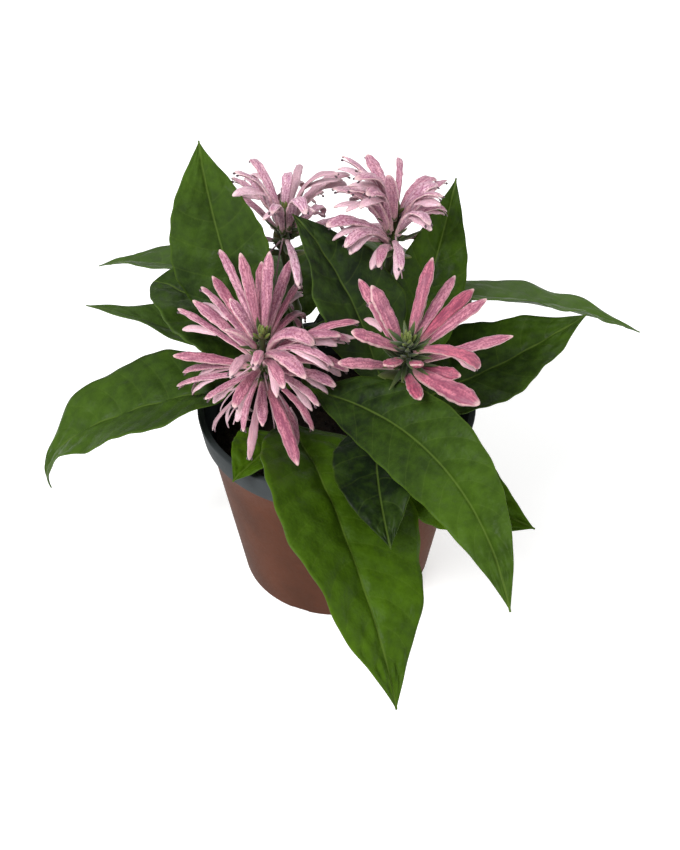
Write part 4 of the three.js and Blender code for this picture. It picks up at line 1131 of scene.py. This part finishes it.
def stamen_bodies(tube, girth, marks):
    """Two stamens under the upper lip: pale threads that end in dark pods."""
    points, side, normal = (part[slice(*np.searchsorted(TUBE_SHARES, [FORK, 0.97]))] for part in tube)
    reach = np.linspace(0, 1, len(points))[:, None]
    thread = np.full(len(points), STAMEN_RADIUS)
    pod_girth = np.array([0.15, 0.48, 0.58, 0.55, 0.42, 0.12])
    bodies = []
    for sign in (-1, 1):
        line = points - normal * (0.35 + 0.35 * reach) + side * sign * girth * (0.15 + 0.3 * reach)
        rings = rings_along(line, side, normal, thread, thread, STAMEN_SIDES)
        bodies.append((rings, {**marks, "fade": 0.5}))
        tip = unit(line[-1:] - line[-3:-2])
        pod = line[-1] - normal[-1] * 0.25 + tip * np.linspace(-0.4, 1.1, 6)[:, None]
        rings = rings_along(
            pod, np.repeat(side[-1:], 6, 0), np.repeat(normal[-1:], 6, 0), pod_girth, pod_girth, 7)
        bodies.append((rings, {**marks, "dark": 0.9}))
    return bodies


def corolla_bodies(name, i, lift, swing, rng):
    """A bud, or a tube with its upper lip, the lower lip and two stamens. The oldest corollas,
    which hang, are withered."""
    _, _, lean, _, _, girth, parted = HEADS[name][i]
    girth = girth * HEAD_FULLNESS[name]
    tube, lip = corolla_path(name, i, lift, swing, TUBE_SHARES, LIP_SHARES)
    hook = rng.uniform(0, 6) if parted else 0.0
    tube = swayed(tube, TUBE_SHARES, rng.uniform(-4.5, 4.5) * (1 if parted else 0.4), hook)
    lip = swayed(lip, LIP_SHARES, rng.uniform(-1.5, 1.5), rng.uniform(-0.5, 1.5))
    withered = float(parted) * float(np.clip((-lean - 25) / 25, 0, 1))
    rings, inner = tube_body(tube, girth, parted, withered, rng)
    rose = np.clip(HEAD_ROSE[name] + rng.uniform(-0.2, 0.2), 0, 1)
    fade = max(0.75 * withered, float(rng.uniform() < 0.12) * rng.uniform(0.3, 0.7) * float(parted))
    marks = {**THREAD_MARKS, "rose": rose, "fade": fade, "seed": rng.uniform(0, 50)}
    bodies = [(rings, {
        **marks, "along": TUBE_SHARES[:, None], "round": around(TUBE_SIDES), "inner": inner})]
    if parted:
        rings, inner = lip_body(lip, girth, withered, rng)
        bodies.append((rings, {
            **marks, "along": 0.5 + 0.5 * LIP_SHARES[:, None], "round": around(LIP_SIDES), "inner": inner}))
        bodies += stamen_bodies(tube, girth, marks)
    return bodies


def calyx_body(name, i, lift, swing):
    """The green cup at the root of a corolla, with pointed teeth: rings that rise outside it, turn
    in over the teeth and go down again inside."""
    steps = 30
    (points, side, normal), _ = corolla_path(
        name, i, lift, swing, np.linspace(0, 1, steps + 1), COARSE_LIP)
    angle = section_turns(CUP_SIDES)
    tooth = 0.5 + 0.5 * np.cos(CUP_TEETH * angle)
    level = np.array([0, 1, 2, 3, 4, 5, 4.6, 3.2, 1.2])[:, None] / 6
    wide = np.array([0.9, 1.2, 1.35, 1.45, 1.5, 1.55, 1.35, 1.25, 1.1])[:, None]
    reach = level * np.where(level > 0.45, 0.62 + 0.62 * tooth, 1)
    at = np.clip(reach * steps * CUP_DEPTH[name] / HEADS[name][i][3], 0, steps - 0.01)
    low = at.astype(int)
    part = (at - low)[..., None]
    centre = points[low] * (1 - part) + points[low + 1] * part
    x, y = wide * np.cos(angle), wide * np.sin(angle)
    rings = centre + x[..., None] * side[low] + y[..., None] * normal[low]
    return rings, {"knot": 0.1, "tip": level * 0.7, "young": 0.12}


def petal_noise(tree, round_scale, along_scale, detail):
    """Noise laid out round and along each petal, different from petal to petal."""
    place = node(tree, "ShaderNodeCombineXYZ", {
        0: calc(tree, "MULTIPLY", mark(tree, "round"), round_scale),
        1: calc(tree, "MULTIPLY", mark(tree, "along"), along_scale),
        2: mark(tree, "seed")}).outputs[0]
    return node(tree, "ShaderNodeTexNoise", {"Vector": place, "Scale": 1.0, "Detail": detail}).outputs[0]


def corolla_pink():
    """Petal pink in fine lengthwise streaks and speckles, with cream tips, pale side rims that are a
    painted rim highlight, pale inner faces and roots, and a dull tone for faded flowers."""
    material, tree, shader = new_material("corolla_pink")
    along = mark(tree, "along")
    off_middle = calc(tree, "ABSOLUTE", calc(tree, "SUBTRACT", mark(tree, "round"), 0.5))
    streaks = ramp(tree, petal_noise(tree, 9.0, 5.0, 3.0), 0.35, 0.65)
    specks = ramp(tree, petal_noise(tree, 12.0, 40.0, 2.0), 0.48, 0.6)
    middle_line = calc(tree, "MULTIPLY", ramp(tree, off_middle, 0.08, 0.0), 0.5)
    specks = calc(tree, "MAXIMUM", specks, middle_line)
    # Cream tips are the petals' own colour; the pale side rims are a painted rim highlight.
    cream_tip_and_rim_highlight = calc(tree, "MAXIMUM", ramp(tree, off_middle, 0.34, 0.48), ramp(tree, along, 0.93, 1.0))
    pale = blend(tree, streaks, paint(224, 186, 200), paint(180, 130, 156))
    deep = blend(tree, streaks, paint(184, 88, 110), paint(124, 42, 70))
    pink = blend(tree, mark(tree, "rose"), pale, deep)
    pink = blend(tree, specks, pink, paint(124, 50, 78), 0.7)
    pink = blend(tree, mark(tree, "inner"), pink, paint(236, 206, 214), 0.6)
    pink = blend(tree, cream_tip_and_rim_highlight, pink, paint(232, 204, 196), 0.6)
    pink = blend(tree, ramp(tree, along, 0.3, 0.0), pink, paint(196, 166, 158), 0.55)
    pink = blend(tree, mark(tree, "fade"), pink, paint(180, 148, 156))
    pink = blend(tree, mark(tree, "dark"), pink, paint(44, 32, 38))
    fill(tree, shader, {
        "Base Color": pink,
        "Roughness": 0.5,
        "Normal": relief(tree, calc(tree, "ADD", streaks, specks), 0.3, 0.0003),
        "Sheen Weight": 0.15,
        "Subsurface Weight": 0.08,
        "Subsurface Radius": (0.004, 0.002, 0.002),
        "Subsurface Scale": 0.5})
    return material


COROLLA_PINK = corolla_pink()
rng = np.random.default_rng(23)
for name, places in place_corollas().items():
    petals = [body for place in places for body in corolla_bodies(name, *place, rng)]
    petals += thread_bodies(name, rng)
    mesh = loft_mesh(f"petals_{name}", petals)
    finish_piece(link_object(f"petals_{name}", mesh), COROLLA_PINK, "corolla_pink", f"corollas_{name}")
    cups = link_object(f"calyces_{name}", loft_mesh(f"calyces_{name}", [
        calyx_body(name, *place) for place in places]))
    cups.data.materials.append(STEM_GREEN)
    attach(cups, "root")

# Room: a plain near-white sweep of floor under soft studio light, the main light large and high
# to the front left, a wide fill from the right and a soft one from above the back.
FLOOR_REACH = 4
WHITE = (1, 1, 1, 1)
floor_mesh = bpy.data.meshes.new("floor")
floor_corners = [(x * FLOOR_REACH, y * FLOOR_REACH, 0) for x, y in ((-1, -1), (1, -1), (1, 1), (-1, 1))]
floor_mesh.from_pydata(floor_corners, [], [(0, 1, 2, 3)])
floor = link_object("floor", floor_mesh)
floor_paint, floor_tree, floor_shader = new_material("floor")
fill(floor_tree, floor_shader, {
    "Base Color": (0.9, 0.9, 0.9, 1),
    "Roughness": 0.9,
    "Emission Color": WHITE,
    "Emission Strength": 0.4})
floor_mesh.materials.append(floor_paint)


def softbox(name, place, size, power):
    """A square soft light that faces the middle of the plant."""
    lamp = bpy.data.lights.new(name, "AREA")
    lamp.size = size
    lamp.energy = power
    light = link_object(name, lamp)
    light.location = place
    toward = VIEW_TARGET - np.array(place)
    light.rotation_euler = (
        np.arctan2(np.hypot(toward[0], toward[1]), -toward[2]), 0,
        np.arctan2(toward[1], toward[0]) - np.pi / 2)


softbox("key", (-0.6, -0.7, 1.1), 0.6, 21)
softbox("fill", (1.0, -0.5, 0.8), 0.9, 5)
softbox("back", (0.3, 1.0, 1.0), 0.8, 5)
world = bpy.data.worlds.new("studio")
world.use_nodes = True
fill(world.node_tree, world.node_tree.nodes["Background"], {"Color": WHITE, "Strength": 0.4})
bpy.context.scene.world = world
bpy.context.scene.view_settings.view_transform = "Standard"
